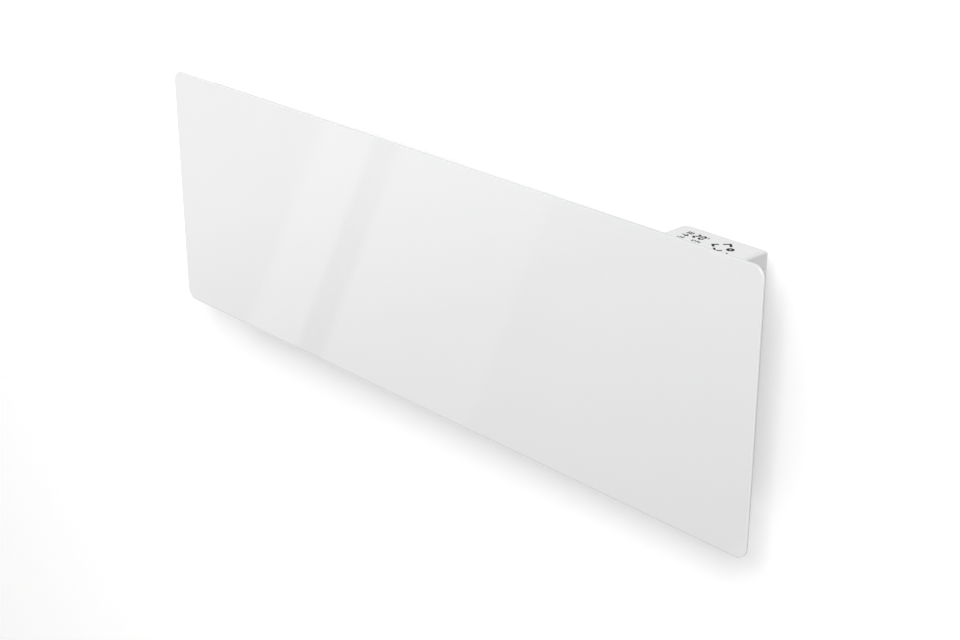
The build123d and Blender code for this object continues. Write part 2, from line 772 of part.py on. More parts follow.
def control_housing():
    """Moulded tub that hangs into the casing from a flange."""
    flange = control_plan() - lip_rebate()
    body = extrude(Plane.XY.offset(CASE_TOP) * flange, amount=TUB_FLANGE_T)
    tub = block(TUB_LEFT, TUB_RIGHT, TUB_FRONT, TUB_BACK, TUB_BOTTOM, CASE_TOP)
    body += fillet(tub.edges().filter_by(Axis.Z) + tub.edges().group_by(Axis.Z)[0], CONTROL_WALL)
    wall = CONTROL_WALL
    body -= block(
        TUB_LEFT + wall, TUB_RIGHT - wall, TUB_FRONT + wall, TUB_BACK - wall, TUB_FLOOR, FLANGE_TOP
    )
    for x, z in power_board_holes():
        post = rod((x, TUB_BACK - wall, z), (x, POWER_BOARD_BACK, z), STANDOFF_R)
        body += post
        tip = POWER_BOARD_FACE + SMALL_SCREW_LENGTH
        body -= rod((x, POWER_BOARD_BACK, z), (x, tip, z), SMALL_SCREW_R)
    for i in range(PORT_COUNT):
        x = port(i)[0]
        body -= rod((x, MID_Y, TUB_BOTTOM), (x, MID_Y, TUB_FLOOR), PORT_R)
    for x, y in control_screw_places():
        body -= rod((x, y, CASE_TOP), (x, y, FLANGE_TOP), SMALL_SCREW_R + SCREW_CLEARANCE)
    return body


def control_cover():
    """Moulded cover, its right end rounded over and flush with the rear cover."""
    wall = CONTROL_WALL
    height = CONTROL_TOP - FLANGE_TOP
    base = Plane.XY.offset(FLANGE_TOP)
    body = extrude(base * control_plan(), amount=height)
    end = body.edges().group_by(Axis.Z)[-1].filter_by(Axis.Y).sort_by(Axis.X)[-1:]
    body = fillet(end, CONTROL_END_R)
    rear = body.edges().group_by(Axis.Z)[-1].filter_by(Axis.X).sort_by(Axis.Y)[-1:]
    body = fillet(rear, CONTROL_EDGE_R)
    body -= extrude(base * lip_rebate(), amount=height)
    body -= extrude(base * (control_plan(wall) - lip_rebate(wall)), amount=height - wall)
    for x, y in control_screw_places():
        boss = rod((x, y, FLANGE_TOP), (x, y, FLANGE_TOP + CONTROL_BOSS_H), CONTROL_BOSS_R)
        body += boss
        body -= rod((x, y, FLANGE_TOP), (x, y, FLANGE_TOP + SMALL_SCREW_LENGTH), SMALL_SCREW_R)
    for x, y in display_board_holes():
        body += rod((x, y, DISPLAY_BOARD_TOP), (x, y, COVER_SKIN), STANDOFF_R)
        body -= rod((x, y, DISPLAY_BOARD_TOP), (x, y, COVER_SKIN + OVERLAY_T), SMALL_SCREW_R)
    return body - extrude(Plane.XY.offset(CONTROL_TOP) * film_outline(OVERLAY_GAP), amount=-OVERLAY_T)


def film_outline(grow=0.0):
    """Plan of the top film, inside the rounded edges of the cover."""
    margin = OVERLAY_MARGIN - grow
    film = plate(
        CONTROL_LEFT + margin, CONTROL_RIGHT - CONTROL_END_R - margin,
        GLASS_BACK + margin, COVER_IN - margin,
    )
    left_rear = film.vertices().group_by(Axis.Y)[-1].sort_by(Axis.X)[:1]
    film = fillet(left_rear, CONTROL_R - margin)
    square = film.vertices().group_by(Axis.Y)[0] + film.vertices().group_by(Axis.X)[-1].sort_by(Axis.Y)[-1:]
    return fillet(square, OVERLAY_R)


def display_overlay():
    """Thin top film that carries the printed marks."""
    return extrude(Plane.XY.offset(CONTROL_TOP) * film_outline(), amount=-OVERLAY_T)


def display_board_edges():
    gap = CONTROL_WALL + 2 * CONTROL_BOSS_R + BOARD_GAP
    y0 = GLASS_BACK + CONTROL_WALL + BOARD_GAP
    y1 = COVER_IN - CONTROL_WALL - BOARD_GAP
    return CONTROL_LEFT + gap, CONTROL_RIGHT - gap, y0, y1


def display_board_holes():
    x0, x1, y0, y1 = display_board_edges()
    inset = BOARD_HOLE_INSET
    return [(x, y) for x in (x0 + inset, x1 - inset) for y in (y0 + inset, y1 - inset)]


def display_board():
    x0, x1, y0, y1 = display_board_edges()
    body = block(x0, x1, y0, y1, DISPLAY_BOARD_BOTTOM, DISPLAY_BOARD_TOP)
    for x, y in display_board_holes():
        body -= rod((x, y, DISPLAY_BOARD_BOTTOM), (x, y, DISPLAY_BOARD_TOP), SMALL_SCREW_R)
    return body


def control_mid_y():
    return (GLASS_BACK + COVER_IN) / 2


def touch_places():
    """Four touch areas round the middle of the printed keys."""
    x = CONTROL_LEFT + TOUCH_X
    y = MARKS_Y
    return [(x - TOUCH_REACH, y), (x + TOUCH_REACH, y), (x, y - TOUCH_REACH), (x, y + TOUCH_REACH)]


def touch_pads():
    """Conducting foam pads between the board and the underside of the cover."""
    pads = [rod((x, y, DISPLAY_BOARD_TOP), (x, y, COVER_SKIN), TOUCH_R) for x, y in touch_places()]
    return Compound(pads)


def digit_display():
    """Two seven-segment digits behind the cover's skin."""
    x0 = CONTROL_LEFT + DISPLAY_X
    y0 = control_mid_y() - DISPLAY_D / 2
    body = block(
        x0, x0 + DISPLAY_W, y0, y0 + DISPLAY_D, DISPLAY_BOARD_TOP, DISPLAY_BOARD_TOP + DISPLAY_H
    )
    return chamfer(body.edges().group_by(Axis.Z)[-1], DISPLAY_EDGE)


def status_lamps():
    x = CONTROL_LEFT + ICON_LED_X
    lamps = []
    for i in (-1, 0, 1):
        y = MARKS_Y + i * ICON_LED_PITCH
        lamp = block(
            x - LED_SIZE / 2, x + LED_SIZE / 2, y - LED_SIZE / 2, y + LED_SIZE / 2,
            DISPLAY_BOARD_TOP, DISPLAY_BOARD_TOP + LED_H,
        )
        lamps.append(lamp)
    return Compound(lamps)


def power_board_holes():
    inset = BOARD_HOLE_INSET
    xs = (POWER_BOARD_LEFT + inset, POWER_BOARD_LEFT + POWER_BOARD_W - inset)
    zs = (POWER_BOARD_BOTTOM + inset, POWER_BOARD_BOTTOM + POWER_BOARD_H - inset)
    return [(x, z) for x in xs for z in zs]


def power_board():
    body = block(
        POWER_BOARD_LEFT, POWER_BOARD_LEFT + POWER_BOARD_W, POWER_BOARD_FACE, POWER_BOARD_BACK,
        POWER_BOARD_BOTTOM, POWER_BOARD_BOTTOM + POWER_BOARD_H,
    )
    for x, z in power_board_holes():
        body -= rod((x, POWER_BOARD_FACE, z), (x, POWER_BOARD_BACK, z), SMALL_SCREW_R)
    return body


def board_point(place):
    """X and Z of a place on the power board, from its lower left corner."""
    return POWER_BOARD_LEFT + place[0], POWER_BOARD_BOTTOM + place[1]


def on_board(place, size):
    """A component box on the power board."""
    x, z = board_point(place)
    width, depth, height = size
    return block(x, x + width, POWER_BOARD_FACE - depth, POWER_BOARD_FACE, z, z + height)


def relay():
    body = on_board(RELAY_AT, RELAY_SIZE)
    return chamfer(body.edges().group_by(Axis.Y)[0], CASE_EDGE)


def transformer():
    """Small mains transformer: laminated core with its coil standing through it."""
    x, z = board_point(TRANSFORMER_AT)
    width, depth, height = TRANSFORMER_SIZE
    middle = (x + width / 2, POWER_BOARD_FACE - depth / 2)
    coil = rod((*middle, z + height), (*middle, z + height + COIL_RISE), COIL_R)
    return on_board(TRANSFORMER_AT, TRANSFORMER_SIZE) + coil


def film_capacitor():
    body = on_board(FILM_CAP_AT, FILM_CAP_SIZE)
    return fillet(body.edges().filter_by(Axis.Y), CASE_ROUNDING)


def round_capacitor():
    x, z = board_point(ROUND_CAP_AT)
    y = POWER_BOARD_FACE - ROUND_CAP_R
    body = rod((x, y, z), (x, y, z + ROUND_CAP_H), ROUND_CAP_R)
    return fillet(body.edges().group_by(Axis.Z)[-1], CASE_EDGE)


def board_fuse():
    """Glass fuse between two end caps."""
    x0, z = board_point(FUSE_AT)
    y = POWER_BOARD_FACE - FUSE_R
    body = rod((x0, y, z), (x0 + FUSE_L, y, z), FUSE_GLASS_R)
    for x in (x0, x0 + FUSE_L - FUSE_CAP_L):
        body += rod((x, y, z), (x + FUSE_CAP_L, y, z), FUSE_R)
    return body


def board_plug():
    """Plug along the bottom of the power board that the leads rise into."""
    body = on_board(((POWER_BOARD_W - PLUG_SIZE[0]) / 2, 0), PLUG_SIZE)
    for i in range(PORT_COUNT - 1):
        x = (port(i)[0] + port(i + 1)[0]) / 2
        body -= block(
            x - PLUG_GROOVE / 2, x + PLUG_GROOVE / 2, POWER_BOARD_FACE - PLUG_SIZE[1],
            POWER_BOARD_FACE - PLUG_SIZE[1] / 2, POWER_BOARD_BOTTOM, POWER_BOARD_BOTTOM + PLUG_SIZE[2],
        )
    return body


def radio_module():
    """Small radio board with a shielding can."""
    width, height, thick = RADIO_SIZE
    place = (POWER_BOARD_W - RADIO_FROM_END, RADIO_RISE)
    x, z = board_point(place)
    can = block(
        x + RADIO_EDGE, x + width - RADIO_AERIAL, POWER_BOARD_FACE - thick - RADIO_SHIELD_H,
        POWER_BOARD_FACE - thick, z + RADIO_EDGE, z + height - RADIO_EDGE,
    )
    can = fillet(can.edges().group_by(Axis.Y)[0], CASE_EDGE)
    return on_board(place, (width, thick, height)) + can


def small_screws():
    """Screws of both boards and of the control unit's cover."""
    parts = [small_screw((x, POWER_BOARD_FACE, z), (0, 1, 0)) for x, z in power_board_holes()]
    for x, y in display_board_holes():
        parts.append(small_screw((x, y, DISPLAY_BOARD_BOTTOM), (0, 0, 1)))
    for x, y in control_screw_places():
        parts.append(small_screw((x, y, INNER_TOP), (0, 0, 1)))
    return Compound(parts)


def ribbon_x():
    return board_point(FUSE_AT)[0] + FUSE_L / 2


def ribbon_cable():
    """Flat cable from the power board up to the display board, with its two plugs."""
    width, depth, height = HEADER_SIZE
    x = ribbon_x()
    y = POWER_BOARD_FACE - depth / 2
    z0 = POWER_BOARD_BOTTOM + POWER_BOARD_H - height
    z1 = DISPLAY_BOARD_BOTTOM
    lower = block(
        x - width / 2, x + width / 2, POWER_BOARD_FACE - depth, POWER_BOARD_FACE, z0, z0 + height
    )
    upper = block(
        x - width / 2, x + width / 2, y - depth / 2, y + depth / 2, z1 - depth / 2, z1
    )
    tape = block(
        x - RIBBON_W / 2, x + RIBBON_W / 2, y - RIBBON_T / 2, y + RIBBON_T / 2,
        z0 + height, z1 - depth / 2,
    )
    return lower + upper + tape


# Mains inlet and terminals

def cable_gland():
    """Flanged inlet bush in the bottom wall, with its nut inside."""
    z0 = CASE_BOTTOM - GLAND_FLANGE_T
    base = (GLAND_X, MID_Y, z0)
    flange = rod(base, (GLAND_X, MID_Y, CASE_BOTTOM), GLAND_FLANGE_R)
    flange = fillet(flange.edges().group_by(Axis.Z)[0], CASE_ROUNDING)
    body = flange + rod(base, (GLAND_X, MID_Y, z0 + GLAND_LENGTH), GLAND_BARREL_R)
    return body - rod(base, (GLAND_X, MID_Y, z0 + GLAND_LENGTH), GLAND_BORE_R)


def gland_nut():
    """Hexagonal nut that draws the gland up against the bottom wall."""
    nut = RegularPolygon(GLAND_NUT_R, 6) - Circle(GLAND_BARREL_R)
    plane = Plane(origin=(GLAND_X, MID_Y, INNER_BOTTOM))
    return extrude(plane * nut, amount=GLAND_NUT_T)


def terminal_block():
    """Row of screw terminals on the bottom wall."""
    width = TERMINAL_POLES * TERMINAL_POLE_W
    x0 = TERMINAL_X
    half = TERMINAL_D / 2
    z0 = INNER_BOTTOM
    body = block(x0, x0 + width, MID_Y - half, MID_Y + half, z0, z0 + TERMINAL_H)
    body = fillet(body.edges().filter_by(Axis.X).group_by(Axis.Z)[-1], CASE_ROUNDING)
    for i in range(1, TERMINAL_POLES):
        x = x0 + i * TERMINAL_POLE_W
        body -= block(
            x - PLUG_GROOVE / 2, x + PLUG_GROOVE / 2, MID_Y - half, MID_Y + half,
            z0 + TERMINAL_H / 2, z0 + TERMINAL_H,
        )
    for i in range(TERMINAL_POLES):
        x = x0 + (i + 0.5) * TERMINAL_POLE_W
        body -= rod(
            (x, MID_Y + half / 2, z0 + TERMINAL_H / 2), (x, MID_Y + half / 2, z0 + TERMINAL_H),
            2 * LEAD_R,
        )
    return body


def pole(i):
    """Where a lead enters pole i of the terminal block."""
    x = TERMINAL_X + (i + 0.5) * TERMINAL_POLE_W
    return (x, MID_Y + TERMINAL_D / 4, INNER_BOTTOM + TERMINAL_H / 2)


def earth_point():
    return (PARTITION_X + EARTH_FROM_PARTITION, MID_Y)


def earth_stud():
    """Stud on the bottom wall with the earth tag under its nut."""
    x, y = earth_point()
    z = INNER_BOTTOM
    body = rod((x, y, z), (x, y, z + EARTH_STUD_L), EARTH_R)
    nut = extrude(
        Plane(origin=(x, y, z + EARTH_TAG_T)) * RegularPolygon(EARTH_NUT_R, 6), amount=EARTH_NUT_T
    )
    tag = rod((x, y, z), (x, y, z + EARTH_TAG_T), EARTH_NUT_R + SHEET)
    return body + nut + tag


# Mains switch

def rocker_pivot():
    """Pivot of the rocker, along Y."""
    return (CASE_X + BEZEL_T - ROCKER_PIVOT_IN, MID_Y, SWITCH_Z)


def mains_switch_body():
    """Bezel outside the end wall, body inside, and a well for the rocker."""
    half_h = SWITCH_BODY_H / 2
    half_w = SWITCH_BODY_W / 2
    x_back = CASE_X - SWITCH_BODY_D
    bezel = extrude(
        facing_right(CASE_X) * (Pos(MID_Y, SWITCH_Z) * RectangleRounded(BEZEL_W, BEZEL_H, FOLD_R)),
        amount=BEZEL_T,
    )
    bezel = fillet(bezel.edges().group_by(Axis.X)[-1], BEZEL_EDGE)
    body = bezel + block(
        x_back, CASE_X, MID_Y - half_w, MID_Y + half_w, SWITCH_Z - half_h, SWITCH_Z + half_h
    )
    well_h = ROCKER_H / 2 + 2 * ROCKER_CLEARANCE
    well_w = ROCKER_W / 2 + ROCKER_CLEARANCE
    floor = CASE_X + BEZEL_T - ROCKER_PIVOT_IN - ROCKER_DEPTH - 2 * ROCKER_CLEARANCE
    body -= block(
        floor, CASE_X + BEZEL_T, MID_Y - well_w, MID_Y + well_w,
        SWITCH_Z - well_h, SWITCH_Z + well_h,
    )
    x, y, z = rocker_pivot()
    reach = ROCKER_W / 2 + ROCKER_PIN_L + ROCKER_CLEARANCE
    body -= rod((x, y - reach, z), (x, y + reach, z), ROCKER_PIN_R + ROCKER_PIN_CLEARANCE)
    for i in (-1, 1):
        tab_z = SWITCH_Z + i * SWITCH_TAB_PITCH / 2
        body += block(
            x_back - SWITCH_TAB_L, x_back, MID_Y - 2 * LEAD_R, MID_Y + 2 * LEAD_R,
            tab_z - EARTH_TAG_T / 2, tab_z + EARTH_TAG_T / 2,
        )
    return body


def mains_rocker():
    """Rocker with two faces that meet at a shallow angle, shown switched off."""
    half = ROCKER_H / 2
    rise = half * math.tan(math.radians(ROCKER_TILT))
    proud = ROCKER_PIVOT_IN + ROCKER_PROUD
    keel = (half - ROCKER_DEPTH * math.tan(math.radians(2 * ROCKER_TILT))) / 2
    outline = Polyline(
        (proud, 0),
        (proud + rise, half),
        (0, half),
        (-ROCKER_DEPTH, keel),
        (-ROCKER_DEPTH, -keel),
        (0, -half),
        (proud + rise, -half),
        close=True,
    )
    side_on = Plane(origin=(0, ROCKER_W / 2, 0), x_dir=(1, 0, 0), z_dir=(0, -1, 0))
    body = extrude(side_on * make_face(outline), amount=ROCKER_W)
    reach = ROCKER_W / 2 + ROCKER_PIN_L
    body += rod((0, -reach, 0), (0, reach, 0), ROCKER_PIN_R)
    x, y, z = rocker_pivot()
    return Pos(x, y, z) * Rot(0, ROCKER_TILT, 0) * body


# Room sensor

def sensor_holder():
    """Clip on the bottom wall that holds the sensor over the inlet air."""
    half = SENSOR_HOLDER_W / 2
    z0 = INNER_BOTTOM
    z1 = z0 + 2 * SENSOR_R + 2 * SENSOR_HOLDER_T
    y0, y1 = MID_Y - half, MID_Y + half
    body = block(SENSOR_X - half, SENSOR_X + half, y0, y1, z0, z1)
    z = z0 + SENSOR_HOLDER_T + SENSOR_R
    return body - rod((SENSOR_X, y0, z), (SENSOR_X, y1, z), SENSOR_R)


def room_sensor():
    z = INNER_BOTTOM + SENSOR_HOLDER_T + SENSOR_R
    half = SENSOR_L / 2
    body = rod((SENSOR_X, MID_Y - half, z), (SENSOR_X, MID_Y + half, z), SENSOR_R)
    return fillet(body.edges().group_by(Axis.Y)[0], SENSOR_R / 2)


# Internal leads

def port(i):
    """End of lead i under the power board's plug."""
    x = TUB_RIGHT - PORT_FROM_END - (PORT_COUNT - 1 - i) * PORT_PITCH
    return (x, MID_Y, POWER_BOARD_BOTTOM)


def switch_tab(side):
    """Outer end of one of the switch's tabs."""
    x = CASE_X - SWITCH_BODY_D - SWITCH_TAB_L
    return (x, MID_Y, SWITCH_Z + side * SWITCH_TAB_PITCH / 2)


def lead_live():
    """From the terminal block's first pole up to the switch's lower tab."""
    start = pole(0)
    end = switch_tab(-1)
    points = [
        start,
        (start[0], start[1], end[2]),
        (end[0] - 3 * LEAD_BEND, end[1], end[2]),
        end,
    ]
    return lead(points, LEAD_R, LEAD_BEND)


def lead_switched():
    """From the switch's upper tab up to the power board."""
    start = switch_tab(1)
    end = port(4)
    return lead([start, (end[0], start[1], start[2]), end], LEAD_R, LEAD_BEND)


def lead_neutral():
    """From the terminal block's second pole up to the power board."""
    start = pole(1)
    end = port(2)
    forward = MID_Y - 2 * LEAD_GAP
    points = [
        start,
        (start[0], start[1], start[2] + 3 * LEAD_BEND),
        (end[0], forward, start[2] + 6 * LEAD_BEND),
        (end[0], forward, end[2] - 5 * LEAD_BEND),
        (end[0], end[1], end[2] - 2 * LEAD_BEND),
        end,
    ]
    return lead(points, LEAD_R, LEAD_BEND)


def earth_lead():
    """From the terminal block's last pole to the earth stud's tag."""
    x, y = earth_point()
    start = pole(2)
    over = start[2] + 3 * LEAD_BEND
    front = y - TERMINAL_D / 2 - LEAD_GAP
    points = [
        start,
        (start[0], start[1], over),
        (start[0], front, over),
        (x, front, over),
        (x, front, INNER_BOTTOM + LEAD_R),
        (x, y - EARTH_NUT_R - SHEET, INNER_BOTTOM + LEAD_R),
    ]
    return lead(points, LEAD_R, LEAD_GAP)


def element_lead_route(start, x, y):
    """Down from the tub beside the partition, then through the grommet."""
    return [
        start,
        (start[0], start[1], start[2] - 2 * LEAD_BEND),
        (x, y, start[2] - 5 * LEAD_BEND),
        (x, y, GROMMET_Z),
    ]


def element_lead_right():
    """To the element's right terminal."""
    y = MID_Y - LEAD_GAP / 2
    pin = ELEMENT_RIGHT + SHEATH_COLD_END + TERMINAL_L - 2 * TERMINAL_R
    points = element_lead_route(port(0), PARTITION_X + 2 * LEAD_BEND, y)
    points += [
        (pin, y, GROMMET_Z),
        (pin, MID_Y, GROMMET_Z + 2 * LEAD_BEND),
        (pin, MID_Y, ELEMENT_Z - TERMINAL_R),
    ]
    return lead(points, LEAD_R, LEAD_BEND)


def element_lead_left():
    """Along the bottom of the casing to the element's left terminal."""
    y = MID_Y + LEAD_GAP / 2
    pin = ELEMENT_LEFT - SHEATH_COLD_END - TERMINAL_L + 2 * TERMINAL_R
    low = INNER_BOTTOM + LEAD_R + SEAT_GAP / 2
    back = RETURN_IN - SHIELD_T - LEAD_R - SHEET
    points = element_lead_route(port(1), PARTITION_X + 2 * LEAD_BEND + LEAD_GAP, y)
    points += [
        (PARTITION_X - 2 * LEAD_BEND, y, GROMMET_Z),
        (PARTITION_X - 4 * LEAD_BEND, back, low),
        (pin, back, low),
        (pin, MID_Y, low + 5 * LEAD_BEND),
        (pin, MID_Y, ELEMENT_Z - TERMINAL_R),
    ]
    return lead(points, LEAD_R, LEAD_BEND)


def sensor_lead():
    """From the room sensor up the back of the compartment to the power board."""
    z = INNER_BOTTOM + SENSOR_HOLDER_T + SENSOR_R
    back = RETURN_IN - LEAD_GAP
    end = port(3)
    points = [
        (SENSOR_X, MID_Y + SENSOR_L / 2, z),
        (SENSOR_X, back, z),
        (SENSOR_X, back, end[2] - 6 * LEAD_BEND),
        (end[0], end[1], end[2] - 3 * LEAD_BEND),
        end,
    ]
    return lead(points, SENSOR_LEAD_R, LEAD_GAP)


# Wall bracket

def wall_bracket_rail(z, folds):
    """A rail against the wall with two horizontal screw slots."""
    body = folded(folds, RAIL_SHEET, RAIL_BEND_R, 0, RAIL_W)
    for x in (-WALL_SCREW_X / 2, WALL_SCREW_X / 2):
        slot = Pos(x, z) * SlotOverall(WALL_SLOT_L, 2 * WALL_SLOT_R)
        body -= extrude(facing_front(0) * slot, amount=RAIL_SHEET)
    for x in (-LEG_X, LEG_X):
        body -= rod((x, 0, z), (x, -RAIL_SHEET, z), RIVET_R)
    return body


def bracket_upper_rail():
    """Rail whose top is folded forwards and up into a lip for the hooks."""
    y = -RAIL_SHEET / 2
    shelf = RAIL_TOP - RAIL_SHEET / 2
    lip = LIP_BACK - RAIL_SHEET / 2
    folds = [(y, RAIL_Z - RAIL_H / 2), (y, shelf), (lip, shelf), (lip, LIP_TOP)]
    return wall_bracket_rail(RAIL_Z, folds)


def bracket_lower_rail():
    """Rail with a stiffening fold along its bottom."""
    y = -RAIL_SHEET / 2
    bottom = -RAIL_Z - RAIL_H / 2
    folds = [
        (y, -RAIL_Z + RAIL_H / 2),
        (y, bottom + RAIL_SHEET / 2),
        (-RAIL_STIFFENER, bottom + RAIL_SHEET / 2),
    ]
    return wall_bracket_rail(-RAIL_Z, folds)


def bracket_leg(x):
    """Upright strap in front of both rails."""
    z0 = -RAIL_Z - RAIL_H / 2 + RAIL_SHEET + LEG_INSET
    z1 = RAIL_TOP - RAIL_SHEET - LEG_INSET
    strap = Pos(x, (z0 + z1) / 2) * RectangleRounded(LEG_W, z1 - z0, LEG_INSET)
    body = extrude(facing_front(-RAIL_SHEET) * strap, amount=RAIL_SHEET)
    for z in (-RAIL_Z, RAIL_Z):
        body -= rod((x, -RAIL_SHEET, z), (x, -2 * RAIL_SHEET, z), RIVET_R)
    return body


def rivet(x, z, back, front, head_out):
    """A rivet with a domed head on one side and a flush shank."""
    shank = rod((x, back, z), (x, front, z), RIVET_R)
    dome = rod((x, front, z), (x, front + head_out * RIVET_HEAD_H, z), RIVET_HEAD_R)
    far = dome.edges().group_by(Axis.Y)[0 if head_out < 0 else -1]
    return shank + fillet(far, RIVET_HEAD_H * RIVET_ROUNDING)


def bracket_rivets():
    places = [(x, z) for x in (-LEG_X, LEG_X) for z in (-RAIL_Z, RAIL_Z)]
    return Compound([rivet(x, z, 0, -2 * RAIL_SHEET, -1) for x, z in places])


# Hangers and spacers

def hanger_rivet_places():
    z0 = LIP_TOP - HANGER_FOOT + RIVET_PITCH / 2
    places = []
    for side in (-1, 1):
        places += [(side * HANGER_X + i * RIVET_PITCH / 2, z0) for i in (-1, 1)]
    return places


def hanger(x):
    """Folded hook: flat on the rear cover, back over the rail's lip and down behind it."""
    flat = REAR + HANGER_SHEET / 2
    over = LIP_TOP + HANGER_SHEET / 2
    hook = LIP_BACK + HOOK_GAP + HANGER_SHEET / 2
    points = [
        (flat, LIP_TOP - HANGER_FOOT),
        (flat, over),
        (hook, over),
        (hook, LIP_TOP - HOOK_DROP),
    ]
    body = folded(points, HANGER_SHEET, HOOK_BEND_R, x, HANGER_W)
    for px, pz in hanger_rivet_places():
        if abs(px - x) < HANGER_W / 2:
            body -= rod((px, REAR, pz), (px, REAR + HANGER_SHEET, pz), RIVET_R)
    return body


def hanger_rivets():
    rivets = [
        rivet(x, z, COVER_IN, REAR + HANGER_SHEET, 1) for x, z in hanger_rivet_places()
    ]
    return Compound(rivets)


def spacer_places():
    return [(-HANGER_X, -RAIL_Z), (HANGER_X, -RAIL_Z)]


def spacer(x):
    """Moulded foot that keeps the bottom of the heater off the wall."""
    length = WALL_GAP - RAIL_SHEET - SEAT_GAP
    cone = extrude(
        facing_front(REAR + length) * (Pos(x, -RAIL_Z) * Circle(SPACER_R - SPACER_TAPER)),
        amount=length, taper=-math.degrees(math.atan(SPACER_TAPER / length)),
    )
    plug = rod((x, REAR, -RAIL_Z), (x, COVER_IN, -RAIL_Z), RIVET_R)
    core = extrude(
        facing_front(REAR + length) * (Pos(x, -RAIL_Z) * Circle(SPACER_R - 2 * SPACER_TAPER)),
        amount=length - 2 * SPACER_TAPER,
    )
    return cone - core + plug


def all_parts():
    """Every node of the heater, by name."""
    left, right = bracket_places()
    return {
        "front_glass": front_glass(),
        "glass_adhesive": glass_adhesive(),
        "front_casing": front_casing(),
        "rear_cover": rear_cover(),
        "casing_screws": casing_screws(),
        "partition": partition(),
        "partition_grommet": partition_grommet(),
        "heating_element": heating_element(),
        "element_sheath": element_sheath(),
        "terminal_ceramics": terminal_ceramics(),
        "terminal_pins": terminal_pins(),
        "element_bracket_left": element_bracket(left, -1),
        "element_bracket_right": element_bracket(right, 1),
        "element_bushes": element_bushes(),
        "heat_shield": heat_shield(),
        "cutout_bracket": cutout_bracket(),
        "overheat_cutout": overheat_cutout(),
        "thermal_fuse": thermal_fuse(),
        "fuse_clip": fuse_clip(),
        "control_housing": control_housing(),
        "control_cover": control_cover(),
        "display_overlay": display_overlay(),
        "display_board": display_board(),
        "touch_pads": touch_pads(),
        "digit_display": digit_display(),
        "status_lamps": status_lamps(),
        "power_board": power_board(),
        "relay": relay(),
        "transformer": transformer(),
        "film_capacitor": film_capacitor(),
        "round_capacitor": round_capacitor(),
        "board_fuse": board_fuse(),
        "board_plug": board_plug(),
        "radio_module": radio_module(),
        "small_screws": small_screws(),
        "ribbon_cable": ribbon_cable(),
        "cable_gland": cable_gland(),
        "gland_nut": gland_nut(),
        "terminal_block": terminal_block(),
        "earth_stud": earth_stud(),
        "mains_switch_body": mains_switch_body(),
        "mains_rocker": mains_rocker(),
        "sensor_holder": sensor_holder(),
        "room_sensor": room_sensor(),
        "lead_live": lead_live(),
        "lead_switched": lead_switched(),
        "lead_neutral": lead_neutral(),
        "earth_lead": earth_lead(),
        "element_lead_right": element_lead_right(),
        "element_lead_left": element_lead_left(),
        "sensor_lead": sensor_lead(),
        "hanger_left": hanger(-HANGER_X),
        "hanger_right": hanger(HANGER_X),
        "hanger_rivets": hanger_rivets(),
        "spacer_left": spacer(-HANGER_X),
        "spacer_right": spacer(HANGER_X),
        "bracket_upper_rail": bracket_upper_rail(),
        "bracket_lower_rail": bracket_lower_rail(),
        "bracket_legs": Compound([bracket_leg(-LEG_X), bracket_leg(LEG_X)]),
        "bracket_rivets": bracket_rivets(),
    }


os.makedirs("parts", exist_ok=True)
for name, shape in all_parts().items():
    export_step(shape, os.path.join("parts", name + ".step"))
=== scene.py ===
import json
import math

import bmesh
import bpy
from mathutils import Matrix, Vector
from mathutils.bvhtree import BVHTree


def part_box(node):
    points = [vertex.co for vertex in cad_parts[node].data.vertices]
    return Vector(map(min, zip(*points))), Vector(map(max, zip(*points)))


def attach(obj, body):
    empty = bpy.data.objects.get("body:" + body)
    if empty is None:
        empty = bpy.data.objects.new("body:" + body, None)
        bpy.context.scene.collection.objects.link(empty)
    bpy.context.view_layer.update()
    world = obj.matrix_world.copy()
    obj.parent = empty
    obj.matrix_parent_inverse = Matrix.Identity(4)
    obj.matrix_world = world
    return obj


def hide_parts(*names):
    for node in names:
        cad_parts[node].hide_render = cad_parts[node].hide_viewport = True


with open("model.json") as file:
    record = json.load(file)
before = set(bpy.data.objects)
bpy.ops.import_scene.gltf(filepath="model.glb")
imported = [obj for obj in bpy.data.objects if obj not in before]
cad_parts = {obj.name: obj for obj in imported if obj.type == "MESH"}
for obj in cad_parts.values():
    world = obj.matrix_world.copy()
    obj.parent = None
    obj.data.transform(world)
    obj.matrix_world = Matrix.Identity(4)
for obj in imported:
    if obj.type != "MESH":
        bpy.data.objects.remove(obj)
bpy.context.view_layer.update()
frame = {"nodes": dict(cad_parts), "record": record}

# Wall-hung convector heater with a glass front, in metres.
# X runs to the right, Y towards the wall and Z up; the wall is at Y = 0.

MM = 0.001
HEATER = "heater"
SWITCH = "switch_rocker"
WELD_DISTANCE = 0.001 * MM

# Camera, from the perspective of the glass edges in the photograph
CAMERA_PLACE = (1.5474, -1.4254, 0.8232)
CAMERA_AZIMUTH = 46.8203
CAMERA_ELEVATION = 22.9444
CAMERA_LENS = 67.2194
SENSOR_WIDTH = 36.0

# Room
ROOM_LEVEL = 0.53
BACKDROP_LEVEL = 0.85
WALL_BEHIND = 2 * MM
WALL_HALF_WIDTH = 8.0
WALL_TOP = 7.0
WALL_PAINT = (1.12, 1.12, 1.12)
FLOOR_Z = -1.30
FLOOR_BOUNCE_Z = FLOOR_Z - 1 * MM
FLOOR_PAINT = (1.3, 1.3, 1.29)
FLOOR_TONE = (0.8, 0.8, 0.795)
FLOOR_HALF = 9.0
STAGE_ROUGHNESS = 0.9

